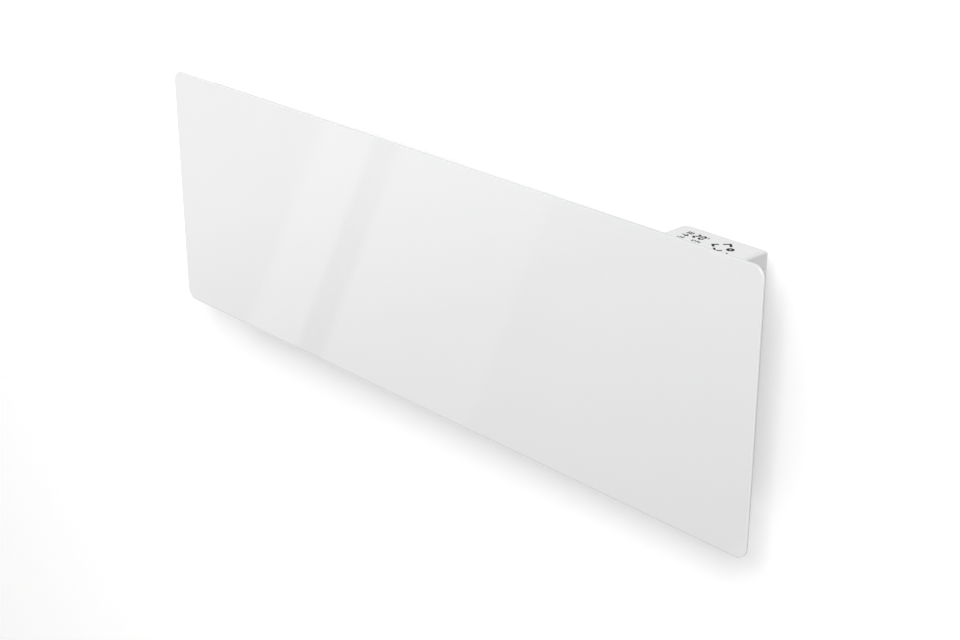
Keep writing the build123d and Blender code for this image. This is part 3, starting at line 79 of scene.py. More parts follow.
# Soft lights: name, place, what each points at, size, power, whether reflections show it
LIGHTS = (
    ("key", (2.35, -3.05, 3.1), (0, 0, 0), (2.4, 2.4), 120.0, False),
    ("fill_left", (-1.8, -2.4, 2.4), (0, 0, 0), (2.0, 2.0), 23.0, False),
    ("overhead", (0.3, -1.0, 2.6), (0, 0, 0), (2.4, 1.2), 16.0, False),
    ("rear", (-1.5, 1.1, 0.55), (-0.3, 0, 0), (0.9, 0.9), 1.6, True),
)

# Bright boards that only reflections show
BOARD_BOTTOM = FLOOR_Z + 10 * MM
BOARD_SLANT = 0.5
BOARD_DIM = 0.7
BOARD_BLUR = 0.05
# Graded ones: name, start and end in plan, top, levels at foot and top, where the
# dimmer part starts
GRADED_CARDS = (
    ("rear_card", (-1.9, 1.8), (1.9, 1.8), 0.7, (0.7, 1.5), 0.3),
    ("right_card", (0.9, -0.12), (0.9, -5.5), 1.8, (0.6, 3.0), -1.0),
    ("front_card", (-3.2, -5.0), (3.2, -5.0), 2.2, (0.6, 2.6), -0.2),
)
# The banded one at the left
CARD_X = -0.7
CARD_NEAR = -0.12
CARD_FAR = -6.0
CARD_TOP = 1.4
# Heights on it and their levels: dim near the floor, brighter along the wall and the top
CARD_LOW = (-1.20, 0.5)
CARD_WALL = (-0.45, 1.4)
CARD_HIGH = (-0.12, 2.5)
# Bands across it, from near to far: start of each along the slant, and what it adds
CARD_BANDS = ((-0.12, -0.2), (-0.475, 0.22), (-0.61, -0.36), (-0.68, 0.2), (-1.16, -0.06))
CARD_SLANT = 0.55
CARD_BLUR = 0.02
# Start and end of its fade into the room's level, along Y and upwards
CARD_FADE_FAR = (-2.3, -5.5)
CARD_FADE_UP = (0.15, 1.2)

# Glass
ENAMEL = (0.714, 0.717, 0.717)
# Edge colours: painted shade on the top and bottom edges, painted highlight on the side edges, and
# painted shade (EDGE_SHADE) over the side edges' rear half
TOP_BOTTOM_EDGE_SHADE = (0.69, 0.70, 0.695)
SIDE_EDGE_HIGHLIGHT = (0.85, 0.87, 0.86)
EDGE_SHADE = (0.34, 0.35, 0.345)
# A strip of painted shade along the bottom of the glass front: its colour and its height
LOWER_FRONT_SHADE = (0.65, 0.655, 0.653)
SHADE_STRIP_RISE = 3.0 * MM
# Share of the strip of painted shade that is dark all through; it fades over the rest
SHADE_STRIP_CORE = 0.8
# The normal's part along Y from the edges to the front, and along X from the top and
# bottom edges with painted shade to the side edges with painted highlight
FRONT_TURN = (0.55, 0.95)
SIDE_TURN = (0.3, 0.65)
EDGE_ROUGHNESS = 0.2
GLASS_IOR = 1.52

# Rubbed edges: cosine of the normal's turn where they are full, and where they end
EDGE_TURN = (0.90, 0.985)
BEVEL_SAMPLES = 4
BARE_EDGE = ((0.8, 0.8, 0.79), 0.3)
# How much finer the roughness drifts than the colour
ROUGHNESS_PATCH = 3.1
# Darker and rubbed tones, as shares of a metal's own colour
ZINC_DARK = 0.86
ZINC_RUBBED = 1.15
DRAWN_DARK = 0.88

# Marks on the control unit's film; places are from its left front corner
INK_THICKNESS = 0.05 * MM
INK_SEGMENTS = 40
INK_MARGIN = 0.2 * MM
DIGIT_W = 6.9 * MM
DIGIT_H = 12.6 * MM
DIGIT_STROKE = 2.8 * MM
DIGIT_PITCH = 7.6 * MM
BAR_GAP = 0.03
DIGITS_AT = (26.0 * MM, 13.4 * MM)
DEGREE_AT = (42.6 * MM, 23.4 * MM)
DEGREE_OUTER = 1.5 * MM
DEGREE_INNER = 0.75 * MM
KEYS_AT = (69.5 * MM, 13.6 * MM)
KEY_REACH = 12.9 * MM
KEY_ARM = 7.8 * MM
KEY_SHORT_ARM = 6.4 * MM
KEY_SHORT_DROP = 0.4 * MM
KEY_STROKE = 2.8 * MM
RING_AT = (79.6 * MM, 14.0 * MM)
RING_OUTER = 4.5 * MM
RING_INNER = 1.2 * MM
TICK_AT = (83.6 * MM, 0.5 * MM)
TICK_ARM = 4.0 * MM
ROW_AT = (31.0 * MM, 4.2 * MM)
ROW_PITCH = 3.4 * MM
ROW_DIGIT = (3.0 * MM, 6.0 * MM, 1.25 * MM)
ICON_X = 18.6 * MM
ICON_STROKE = 1.7 * MM
BARS_Y = 3.9 * MM
BARS_PITCH = 2.9 * MM
BAR_RISE = (2.2 * MM, 3.8 * MM, 5.4 * MM)
ARROW_Y = 14.2 * MM
ARROW_TIP = 3.0 * MM
ARROW_TAIL = -4.6 * MM
ARROW_ARM = 4.0 * MM
ARROW_SHAFT = 1.7 * MM
WARMTH_Y = 19.4 * MM
WARMTH_PITCH = 2.9 * MM
WARMTH_SWAY = 0.5 * MM
WARMTH_RISE = 6.2 * MM

# Marks on the mains rocker
ROCKER_MARK_REACH = 1.6 * MM
ROCKER_STROKE = 0.7 * MM
ROCKER_RING_INNER = 1.0 * MM
ROCKER_MARK_LIFT = 0.01 * MM
ROCKER_CLEAR = 5 * MM

# Screw heads
HEAD_RISE = 1.8 * MM
HEAD_RIM = 0.5 * MM
HEAD_RINGS = 6
HEAD_SEGMENTS = 36
# As shares of the head's radius
HEAD_FLAT = 0.72
SHANK_RADIUS = 0.5
RECESS_REACH = 0.62
RECESS_WIDTH = 0.17
RECESS_DEPTH = 0.55
# As a share of the recess's mouth
RECESS_BOTTOM = 0.6


# Mesh helpers

def new_object(name, data):
    made = bpy.data.objects.new(name, data)
    bpy.context.scene.collection.objects.link(made)
    return made


def from_bmesh(name, shape):
    mesh = bpy.data.meshes.new(name)
    bmesh.ops.recalc_face_normals(shape, faces=shape.faces)
    shape.to_mesh(mesh)
    shape.free()
    return new_object(name, mesh)


def solids_of(node):
    """Lowest and highest corner of each separate solid in a CAD node."""
    shape = bmesh.new()
    shape.from_mesh(frame["nodes"][node].data)
    bmesh.ops.remove_doubles(shape, verts=shape.verts, dist=WELD_DISTANCE)
    left = set(shape.verts)
    boxes = []
    while left:
        start = left.pop()
        group = [start]
        stack = [start]
        while stack:
            vert = stack.pop()
            for edge in vert.link_edges:
                other = edge.other_vert(vert)
                if other in left:
                    left.remove(other)
                    group.append(other)
                    stack.append(other)
        low = Vector(min(v.co[i] for v in group) for i in range(3))
        high = Vector(max(v.co[i] for v in group) for i in range(3))
        boxes.append((low, high))
    shape.free()
    return sorted(boxes, key=lambda box: tuple(round(c, 5) for c in box[0]))


def surface_of(node):
    """Search tree over a CAD node's faces, to lay thin marks on them."""
    mesh = frame["nodes"][node].data
    mesh.calc_loop_triangles()
    corners = [vert.co.copy() for vert in mesh.vertices]
    return BVHTree.FromPolygons(corners, [tri.vertices for tri in mesh.loop_triangles])


# Flat marks: each outline is a list of points in the mark's own plane

def bar(x0, y0, x1, y1, width):
    """A straight stroke with square ends."""
    along = Vector((x1 - x0, y1 - y0)).normalized()
    side = Vector((-along.y, along.x)) * width / 2
    start, end = Vector((x0, y0)), Vector((x1, y1))
    return [start - side, end - side, end + side, start + side]


def bent_stroke(start, corner, end, width):
    """Two strokes that meet at a mitred corner."""
    start, corner, end = Vector(start), Vector(corner), Vector(end)
    first = (corner - start).normalized()
    second = (end - corner).normalized()
    side_a = Vector((-first.y, first.x)) * width / 2
    side_b = Vector((-second.y, second.x)) * width / 2
    mitre = (side_a + side_b).normalized()
    mitre *= (width / 2) / mitre.dot(side_a.normalized())
    return [
        start - side_a, corner - mitre, end - side_b,
        end + side_b, corner + mitre, start + side_a,
    ]


def disc(x, y, radius):
    turn = 2 * math.pi / INK_SEGMENTS
    return [
        Vector((x + radius * math.cos(i * turn), y + radius * math.sin(i * turn)))
        for i in range(INK_SEGMENTS)
    ]


def ring(x, y, outer, inner):
    """A ring as short quads."""
    rim = disc(x, y, outer)
    hole = disc(x, y, inner)
    return [
        [rim[i - 1], rim[i], hole[i], hole[i - 1]] for i in range(INK_SEGMENTS)
    ]


# The bars that make each figure: a at the top, on clockwise to f, and g in the middle
SEGMENTS = {
    "0": "abcdef", "1": "bc", "2": "abged", "3": "abgcd", "4": "fgbc",
}


def digit(figure, x, y, width, height, stroke):
    """A seven-bar figure whose lower left corner is at x, y."""
    gap = stroke * BAR_GAP
    left, right = x + stroke / 2, x + width - stroke / 2
    low, high = y + stroke / 2, y + height - stroke / 2
    middle = y + height / 2
    ends = {
        "a": (left, high, right, high),
        "b": (right, middle, right, high),
        "c": (right, low, right, middle),
        "d": (left, low, right, low),
        "e": (left, low, left, middle),
        "f": (left, middle, left, high),
        "g": (left, middle, right, middle),
    }
    outlines = []
    for name in SEGMENTS[figure]:
        x0, y0, x1, y1 = ends[name]
        start, end = Vector((x0, y0)), Vector((x1, y1))
        along = (end - start).normalized()
        side = Vector((-along.y, along.x)) * stroke / 2
        start += along * gap
        end -= along * gap
        nose = along * stroke / 2
        outlines.append([
            start, start + nose - side, end - nose - side,
            end, end - nose + side, start + nose + side,
        ])
    return outlines


def chevron(x, y, direction_x, direction_y, arm, stroke):
    """An arrow head of two arms at right angles, whose tip is at x, y."""
    back = Vector((-direction_x, -direction_y))
    across = Vector((-direction_y, direction_x))
    reach = arm / math.sqrt(2)
    tip = Vector((x, y))
    first = tip + (back + across) * reach
    last = tip + (back - across) * reach
    return bent_stroke(first, tip, last, stroke)


def flat_marks(name, outlines, to_world, thickness):
    """Thin plates with the given outlines, moved into place by to_world(x, y, height)."""
    shape = bmesh.new()
    for outline in outlines:
        top = [shape.verts.new(to_world(p.x, p.y, thickness)) for p in outline]
        bottom = [shape.verts.new(to_world(p.x, p.y, 0.0)) for p in outline]
        shape.faces.new(top)
        shape.faces.new(list(reversed(bottom)))
        for i in range(len(outline)):
            shape.faces.new([top[i - 1], bottom[i - 1], bottom[i], top[i]])
    return from_bmesh(name, shape)


# Materials

class Finish:
    """A material built up from procedural layers on one Principled shader."""

    def __init__(self, name):
        self.material = bpy.data.materials.new(name)
        self.material.use_nodes = True
        self.tree = self.material.node_tree
        self.shader = self.tree.nodes["Principled BSDF"]
        self.place = self.node("TexCoord").outputs["Object"]
        self.height = None

    def node(self, kind, **inputs):
        made = self.tree.nodes.new("ShaderNode" + kind)
        for name, value in inputs.items():
            self.feed(made.inputs[name], value)
        return made

    def feed(self, socket, value):
        if isinstance(value, bpy.types.NodeSocket):
            self.tree.links.new(value, socket)
        else:
            socket.default_value = value

    def noise(self, scale, detail=3.0, roughness=0.5, place=None):
        texture = self.node("TexNoise", Scale=scale, Detail=detail, Roughness=roughness)
        self.feed(texture.inputs["Vector"], place or self.place)
        return texture.outputs["Fac"]

    def stretched(self, scale):
        """Object coordinates scaled apart along X, Y and Z, for drawn or brushed grain."""
        mapping = self.node("Mapping", Vector=self.place)
        mapping.inputs["Scale"].default_value = scale
        return mapping.outputs["Vector"]

    def ranged(self, value, low, high, start=0.3, end=0.7):
        """The value from start to end, spread over low to high and held there beyond."""
        made = self.node("MapRange", Value=value)
        made.inputs["From Min"].default_value = start
        made.inputs["From Max"].default_value = end
        made.inputs["To Min"].default_value = low
        made.inputs["To Max"].default_value = high
        return made.outputs["Result"]

    def mixed(self, factor, first, second):
        """From the first colour at 0 to the second at 1."""
        made = self.tree.nodes.new("ShaderNodeMix")
        made.data_type = "RGBA"
        self.feed(made.inputs[0], factor)
        # Sockets 6 and 7 take the two colours, and output 2 gives the mixed one
        for socket, colour in ((made.inputs[6], first), (made.inputs[7], second)):
            linked = isinstance(colour, bpy.types.NodeSocket)
            self.feed(socket, colour if linked else (*colour, 1.0))
        return made.outputs[2]

    def computed(self, operation, *values):
        made = self.tree.nodes.new("ShaderNodeMath")
        made.operation = operation
        for socket, value in zip(made.inputs, values):
            self.feed(socket, value)
        return made.outputs[0]

    def product(self, first, second):
        return self.computed("MULTIPLY", first, second)

    def summed(self, first, second):
        return self.computed("ADD", first, second)

    def absolute(self, value):
        return self.computed("ABSOLUTE", value)

    def edges(self, radius, strength):
        """The strength along the piece's edges and 0 on its flats, broken up by noise."""
        rounded = self.node("Bevel", Radius=radius)
        rounded.samples = BEVEL_SAMPLES
        plain = self.node("NewGeometry").outputs["Normal"]
        compare = self.tree.nodes.new("ShaderNodeVectorMath")
        compare.operation = "DOT_PRODUCT"
        self.feed(compare.inputs[0], rounded.outputs["Normal"])
        self.feed(compare.inputs[1], plain)
        edge = self.ranged(compare.outputs["Value"], strength, 0.0, *EDGE_TURN)
        patches = self.noise(scale=180.0, detail=5.0)
        return self.product(edge, self.ranged(patches, low=0.15, high=1.0, start=0.4, end=0.62))

    def grain(self, scale, height, detail=2.0, place=None):
        """Fine relief, in metres, laid over what is there already."""
        bump = self.node("Bump", Height=self.noise(scale, detail, place=place), Distance=height)
        bump.inputs["Strength"].default_value = 1.0
        if self.height is not None:
            self.feed(bump.inputs["Normal"], self.height)
        self.height = bump.outputs["Normal"]
        self.feed(self.shader.inputs["Normal"], self.height)

    def colour(self, value):
        self.feed(self.shader.inputs["Base Color"], value)

    def roughness(self, value):
        self.feed(self.shader.inputs["Roughness"], value)

    def fixed(self, socket, value):
        """A value that is the same all over, set on the shader itself."""
        self.shader.inputs[socket].default_value = value

    def surface(self, socket):
        """Ends the material in another shader than the Principled one."""
        self.feed(self.tree.nodes["Material Output"].inputs["Surface"], socket)


def shaded(colour, factor):
    return tuple(c * factor for c in colour)


def varied(finish, colour, spread, patch):
    """A colour that drifts a little, lighter and darker, over patches."""
    lighter, darker = shaded(colour, 1 + spread), shaded(colour, 1 - spread)
    return finish.mixed(finish.ranged(finish.noise(patch), 0.0, 1.0), darker, lighter)


def plain_finish(name, colour, spread=0.04, patch=40.0, rough=(0.4, 0.55),
                 grains=((900.0, 1.2e-5),), worn=None, edge_radius=0.6 * MM):
    """Painted or moulded surface with colour drift, relief and rubbed edges.

    Each grain is a noise scale and a height; worn is the rubbed colour and its strength.
    """
    finish = Finish(name)
    base = varied(finish, colour, spread, patch)
    if worn is not None:
        base = finish.mixed(finish.edges(edge_radius, worn[1]), base, worn[0])
    finish.colour(base)
    finer = finish.noise(scale=patch * ROUGHNESS_PATCH, detail=4.0)
    finish.roughness(finish.ranged(finer, *rough))
    for scale, height in grains:
        finish.grain(scale, height)
    return finish.material


def glass_finish():
    """Clear glass over white enamel, with a deep smooth gloss.

    Its top and bottom edges carry painted shade. Its side edges carry a painted highlight,
    turning to painted shade over their rear half. A thin strip of painted shade runs along
    the bottom of the front.
    """
    finish = Finish("white_glass")
    enamel = varied(finish, ENAMEL, spread=0.006, patch=5.0)
    split = finish.node("SeparateXYZ", Vector=finish.node("TexCoord").outputs["Normal"])
    rim = finish.ranged(finish.absolute(split.outputs["Y"]), 1.0, 0.0, *FRONT_TURN)
    upright = finish.ranged(finish.absolute(split.outputs["X"]), 0.0, 1.0, *SIDE_TURN)
    low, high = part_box("front_glass")
    corner = frame["nodes"]["front_glass"].matrix_world.translation
    place = finish.node("SeparateXYZ", Vector=finish.place)
    # Side edges: painted highlight at the front, turning to painted shade at the rear; top and
    # bottom edges: painted shade
    middle_y, back_y = (low.y + high.y) / 2 - corner.y, high.y - corner.y
    deep = finish.ranged(place.outputs["Y"], 0.0, 1.0, middle_y, back_y)
    side_edge = finish.mixed(deep, SIDE_EDGE_HIGHLIGHT, EDGE_SHADE)
    edge = finish.mixed(upright, TOP_BOTTOM_EDGE_SHADE, side_edge)
    # A strip of painted shade along the bottom of the front
    bottom = low.z - corner.z
    strip_core, strip_top = bottom + SHADE_STRIP_CORE * SHADE_STRIP_RISE, bottom + SHADE_STRIP_RISE
    strip = finish.ranged(place.outputs["Z"], 1.0, 0.0, strip_core, strip_top)
    front = finish.mixed(strip, enamel, LOWER_FRONT_SHADE)
    finish.colour(finish.mixed(rim, front, edge))
    patches = finish.noise(scale=14.0, detail=6.0, roughness=0.6)
    smudge = finish.ranged(patches, low=0.015, high=0.045, start=0.35, end=0.75)
    finish.roughness(finish.summed(smudge, finish.product(rim, EDGE_ROUGHNESS)))
    finish.fixed("IOR", GLASS_IOR)
    finish.grain(scale=3.0, height=1.0e-5, detail=0.0)
    return finish.material


def zinc_finish(name, colour, spangle, rough):
    """Galvanised sheet: metal with faint crystal patches and rolling lines."""
    finish = Finish(name)
    crystals = finish.node("TexVoronoi", Scale=spangle, Vector=finish.place)
    tone = finish.node("SeparateColor", Color=crystals.outputs["Color"])
    base = finish.mixed(tone.outputs[0], shaded(colour, ZINC_DARK), colour)
    rubbed = finish.edges(radius=0.5 * MM, strength=0.5)
    finish.colour(finish.mixed(rubbed, base, shaded(colour, ZINC_RUBBED)))
    finish.roughness(finish.ranged(tone.outputs[1], *rough, start=0.0, end=1.0))
    finish.fixed("Metallic", 1.0)
    finish.grain(scale=220.0, height=1.5e-5, detail=3.0, place=finish.stretched((0.08, 1.0, 1.0)))
    finish.grain(scale=2600.0, height=2.0e-6)
    return finish.material


def drawn_finish(name, colour, rough, along, height=6.0e-6):
    """Metal with fine lines along the way it was drawn or turned."""
    finish = Finish(name)
    lines = finish.noise(scale=900.0, detail=3.0, roughness=0.6, place=finish.stretched(along))
    finish.colour(finish.mixed(lines, shaded(colour, DRAWN_DARK), colour))
    finish.roughness(finish.ranged(lines, *rough))
    finish.fixed("Metallic", 1.0)
    finish.grain(scale=900.0, height=height, detail=3.0, place=finish.stretched(along))
    return finish.material


def film_finish():
    """Satin printed film: soft sheen with a very fine even texture."""
    finish = Finish("overlay_film")
    finish.colour(varied(finish, (0.730, 0.733, 0.733), spread=0.008, patch=60.0))
    finish.roughness(finish.ranged(finish.noise(scale=420.0, detail=4.0), low=0.3, high=0.4))
    finish.grain(scale=5200.0, height=1.6e-6)
    return finish.material


def laminate_finish():
    """Circuit board: green lacquer over copper tracks."""
    finish = Finish("board_laminate")
    tracks = finish.node("TexBrick", Vector=finish.stretched((1.0, 0.0, 1.0)), Scale=260.0)
    tracks.inputs["Mortar Size"].default_value = 0.03
    tone = finish.mixed(tracks.outputs["Fac"], (0.012, 0.11, 0.045), (0.03, 0.2, 0.08))
    stain = finish.ranged(finish.noise(scale=90.0), low=0.0, high=0.35)
    finish.colour(finish.mixed(stain, tone, (0.02, 0.08, 0.03)))
    finish.roughness(finish.ranged(finish.noise(scale=300.0), low=0.25, high=0.4))
    finish.grain(scale=1500.0, height=4.0e-6)
    return finish.material


def striped_lead_finish():
    """Yellow insulation with a green stripe on each side."""
    finish = Finish("lead_earth")
    split = finish.node("SeparateXYZ", Vector=finish.node("TexCoord").outputs["Normal"])
    stripe = finish.ranged(split.outputs["X"], low=0.0, high=1.0, start=-0.1, end=0.1)
    finish.colour(finish.mixed(stripe, (0.75, 0.6, 0.03), (0.03, 0.3, 0.06)))
    finish.roughness(finish.ranged(finish.noise(scale=500.0), low=0.35, high=0.5))
    finish.grain(scale=2200.0, height=4.0e-6)
    return finish.material


def ink_finish(name, colour):
    """Screen-printed ink, slightly uneven and nearly matt."""
    finish = Finish(name)
    finish.colour(varied(finish, colour, spread=0.12, patch=900.0))
    finish.roughness(finish.ranged(finish.noise(scale=2400.0), low=0.45, high=0.6))
    finish.grain(scale=6000.0, height=2.0e-6)
    finish.fixed("Specular IOR Level", 0.1)
    return finish.material


MATERIALS = {
    "white_glass": glass_finish(),
    "painted_steel": plain_finish(
        "painted_steel", (0.74, 0.742, 0.74), spread=0.012, patch=22.0, rough=(0.42, 0.56),
        grains=((650.0, 1.6e-5), (3800.0, 4.0e-6)), worn=BARE_EDGE,
    ),
    "control_plastic": plain_finish(
        "control_plastic", (0.70, 0.703, 0.703), spread=0.012, patch=50.0, rough=(0.42, 0.55),
        grains=((2400.0, 8.0e-6), (520.0, 6.0e-6)), worn=((0.74, 0.74, 0.74), 0.3),
    ),
    "overlay_film": film_finish(),
    "black_plastic": plain_finish(
        "black_plastic", (0.028, 0.028, 0.03), spread=0.15, patch=70.0, rough=(0.38, 0.55),
        grains=((2600.0, 1.4e-5),), worn=((0.12, 0.12, 0.125), 0.5), edge_radius=0.5 * MM,
    ),
    "rocker_plastic": plain_finish(
        "rocker_plastic", (0.02, 0.02, 0.021), spread=0.1, patch=80.0, rough=(0.18, 0.3),
        grains=((1500.0, 3.0e-6),), worn=((0.09, 0.09, 0.09), 0.5), edge_radius=0.4 * MM,
    ),
    "bracket_steel": zinc_finish(
        "bracket_steel", (0.66, 0.67, 0.68), spangle=190.0, rough=(0.3, 0.46),
    ),
    "zinc_steel": drawn_finish(
        "zinc_steel", (0.72, 0.72, 0.7), rough=(0.24, 0.4), along=(1.0, 0.3, 1.0),
    ),
    "bare_aluminium": drawn_finish(
        "bare_aluminium", (0.86, 0.865, 0.87), rough=(0.28, 0.42), along=(0.05, 1.0, 1.0),
    ),
    "ceramic": plain_finish(
        "ceramic", (0.82, 0.79, 0.72), spread=0.03, patch=120.0, rough=(0.5, 0.7),
        grains=((1800.0, 1.0e-5),),
    ),
    "silicone": plain_finish(
        "silicone", (0.7, 0.7, 0.68), spread=0.05, patch=60.0, rough=(0.45, 0.6),
        grains=((300.0, 3.0e-5),),
    ),
    "dark_rubber": plain_finish(
        "dark_rubber", (0.03, 0.03, 0.03), spread=0.2, patch=90.0, rough=(0.6, 0.8),
        grains=((1400.0, 2.0e-5),),
    ),
    "board_laminate": laminate_finish(),
    "relay_plastic": plain_finish(
        "relay_plastic", (0.03, 0.09, 0.3), spread=0.08, patch=90.0, rough=(0.3, 0.45),
    ),
    "core_steel": drawn_finish(
        "core_steel", (0.4, 0.38, 0.36), rough=(0.4, 0.6), along=(1.0, 1.0, 0.02),
    ),
    "film_case": plain_finish(
        "film_case", (0.65, 0.5, 0.08), spread=0.08, patch=90.0, rough=(0.3, 0.45),
    ),
    "brass": drawn_finish(
        "brass", (0.8, 0.6, 0.28), rough=(0.25, 0.4), along=(1.0, 1.0, 0.1),
    ),
    "lead_white": plain_finish(
        "lead_white", (0.75, 0.74, 0.72), spread=0.04, patch=60.0, rough=(0.4, 0.55),
        grains=((2000.0, 6.0e-6),),
    ),
    "lead_black": plain_finish(
        "lead_black", (0.03, 0.03, 0.03), spread=0.2, patch=60.0, rough=(0.4, 0.55),
        grains=((2000.0, 6.0e-6),),
    ),
    "lead_earth": striped_lead_finish(),
    "foam": plain_finish(
        "foam", (0.1, 0.1, 0.1), spread=0.2, patch=200.0, rough=(0.8, 0.95),
        grains=((2200.0, 8.0e-5),),
    ),
}

INK = ink_finish("dark_ink", (0.009, 0.009, 0.010))
FAINT_INK = ink_finish("grey_ink", (0.03, 0.03, 0.032))
SWITCH_MARK = ink_finish("switch_mark", (0.8, 0.8, 0.79))


def dress(piece, material):
    piece.data.materials.clear()
    piece.data.materials.append(material)


def dress_cad_nodes():
    for part in frame["record"]["subparts"]:
        dress(frame["nodes"][part["node"]], MATERIALS[part["material_slot"]])


# Printed marks on the control unit

film_low, film_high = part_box("display_overlay")


def on_film(x, y, height):
    """A point on the film; a tip that reaches past its front edge is cut off there."""
    return Vector((film_low.x + x, film_low.y + max(y, INK_MARGIN), film_high.z + height))


def print_marks(name, outlines, material):
    piece = flat_marks(name, outlines, on_film, INK_THICKNESS)
    dress(piece, material)
    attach(piece, HEATER)


def display_marks():
    """Two large figures with a degree ring, and a row of small figures in front of them."""
    x, y = DIGITS_AT
    outlines = digit("2", x, y, DIGIT_W, DIGIT_H, DIGIT_STROKE)
    outlines += digit("0", x + DIGIT_PITCH, y, DIGIT_W, DIGIT_H, DIGIT_STROKE)
    print_marks("digit_marks", outlines, INK)
    print_marks("degree_mark", ring(*DEGREE_AT, DEGREE_OUTER, DEGREE_INNER), FAINT_INK)
    outlines = []
    x, y = ROW_AT
    for i, figure in enumerate("1234"):
        outlines += digit(figure, x + i * ROW_PITCH, y, *ROW_DIGIT)
    print_marks("row_marks", outlines, INK)


def status_marks():
    """Signal bars, an arrow and three rising strokes, one above the other."""
    bars = []
    for i, rise in zip((-1, 0, 1), BAR_RISE):
        x = ICON_X + i * BARS_PITCH
        bars.append(bar(x, BARS_Y, x, BARS_Y + rise, ICON_STROKE))
    print_marks("signal_marks", bars, FAINT_INK)
    tip = ICON_X + ARROW_TIP
    head = [chevron(tip, ARROW_Y, 1, 0, ARROW_ARM, ICON_STROKE)]
    print_marks("arrow_head", head, INK)
    shaft = [bar(ICON_X + ARROW_TAIL, ARROW_Y, tip - ARROW_ARM / 2, ARROW_Y, ARROW_SHAFT)]
    print_marks("arrow_shaft", shaft, FAINT_INK)
    waves = []
    for i in (-1, 0, 1):
        x = ICON_X + i * WARMTH_PITCH
        waves.append(bent_stroke(
            (x - WARMTH_SWAY, WARMTH_Y), (x + WARMTH_SWAY, WARMTH_Y + WARMTH_RISE / 2),
            (x - WARMTH_SWAY, WARMTH_Y + WARMTH_RISE), ICON_STROKE,
        ))
    print_marks("warmth_marks", waves, INK)


def key_marks():
    """Three arrow heads and a ring round one point, and a small tick beside them."""
    x, y = KEYS_AT
    arrows = [
        chevron(x - KEY_REACH, y - KEY_SHORT_DROP, -1, 0, KEY_SHORT_ARM, KEY_STROKE),
        chevron(x, y + KEY_REACH, 0, 1, KEY_ARM, KEY_STROKE),
        chevron(x, y - KEY_REACH, 0, -1, KEY_ARM, KEY_STROKE),
    ]
    print_marks("key_arrows", arrows, INK)
    print_marks("key_ring", ring(*RING_AT, RING_OUTER, RING_INNER), INK)
    tick = [chevron(*TICK_AT, math.sqrt(0.5), -math.sqrt(0.5), TICK_ARM, ICON_STROKE)]
    print_marks("key_tick", tick, FAINT_INK)


# Marks on the mains rocker

def rocker_marks():
    """I on the half that is pressed for on and O on the other."""
    tree = surface_of("mains_rocker")
    low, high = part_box("mains_rocker")
    middle_y = (low.y + high.y) / 2
    middle_z = (low.z + high.z) / 2
    quarter = (high.z - low.z) / 4

    def on_rocker(across, up, height):
        start = Vector((high.x + ROCKER_CLEAR, middle_y + across, middle_z + up))
        hit = tree.ray_cast(start, Vector((-1, 0, 0)))
        return hit[0] + hit[1] * (height + ROCKER_MARK_LIFT)

    reach = ROCKER_MARK_REACH
    line = [bar(0, quarter - reach, 0, quarter + reach, ROCKER_STROKE)]
    loop = ring(0, -quarter, reach, ROCKER_RING_INNER)
    for name, outlines in (("rocker_on_mark", line), ("rocker_off_mark", loop)):
        piece = flat_marks(name, outlines, on_rocker, INK_THICKNESS)
        dress(piece, SWITCH_MARK)
        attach(piece, SWITCH)


# Screws that show

def screw_head(shape, low, high):
    """A domed head with a cross recess, facing +Y, on a shank, in the CAD screw's space."""
    radius = (high.x - low.x) / 2
    centre = Vector(((low.x + high.x) / 2, 0, (low.z + high.z) / 2))
    face = high.y
    seat = face - HEAD_RISE
    turn = 2 * math.pi / HEAD_SEGMENTS

    def circle(r, y):
        return [
            shape.verts.new(centre + Vector((r * math.cos(i * turn), y, r * math.sin(i * turn))))
            for i in range(HEAD_SEGMENTS)
        ]

    def skin(first, second):
        for i in range(HEAD_SEGMENTS):
            shape.faces.new([first[i - 1], first[i], second[i], second[i - 1]])

    loops = [circle(radius, seat)]
    for i in range(HEAD_RINGS + 1):
        angle = i / HEAD_RINGS * math.pi / 2
        r = radius * (HEAD_FLAT + (1 - HEAD_FLAT) * math.cos(angle))
        loops.append(circle(r, seat + HEAD_RIM + (face - seat - HEAD_RIM) * math.sin(angle)))
    for first, second in zip(loops, loops[1:]):
        skin(first, second)
    rim = loops[-1]
    reach, half = radius * RECESS_REACH, radius * RECESS_WIDTH
    corners = [
        (half, reach), (half, half), (reach, half),
        (reach, -half), (half, -half), (half, -reach),
        (-half, -reach), (-half, -half), (-reach, -half),
        (-reach, half), (-half, half), (-half, reach),
    ]
    mouth = [shape.verts.new(centre + Vector((x, face, z))) for x, z in corners]
    bed = face - radius * RECESS_DEPTH
    bottom = [
        shape.verts.new(centre + Vector((RECESS_BOTTOM * x, bed, RECESS_BOTTOM * z)))
        for x, z in corners
    ]
    count = len(corners)
    edges = [shape.edges.get((rim[i - 1], rim[i])) for i in range(HEAD_SEGMENTS)]
    edges += [shape.edges.new((mouth[i - 1], mouth[i])) for i in range(count)]
    bmesh.ops.triangle_fill(shape, edges=edges, use_beauty=True)
    for i in range(count):
        shape.faces.new([mouth[i - 1], mouth[i], bottom[i], bottom[i - 1]])
    shape.faces.new(bottom)
    shank = circle(radius * SHANK_RADIUS, seat)
    tip = circle(radius * SHANK_RADIUS, low.y)
    skin(shank, tip)
    shape.faces.new(tip)
    skin(loops[0], shank)


def casing_screws():
    shape = bmesh.new()
    for low, high in solids_of("casing_screws"):
        screw_head(shape, low, high)
    piece = from_bmesh("casing_screw_set", shape)
    dress(piece, MATERIALS["zinc_steel"])
    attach(piece, HEATER)
    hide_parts("casing_screws")


# Room and light

def plane(name, corners):
    mesh = bpy.data.meshes.new(name)
    mesh.from_pydata(corners, [], [tuple(range(len(corners)))])
    piece = new_object(name, mesh)
    return piece


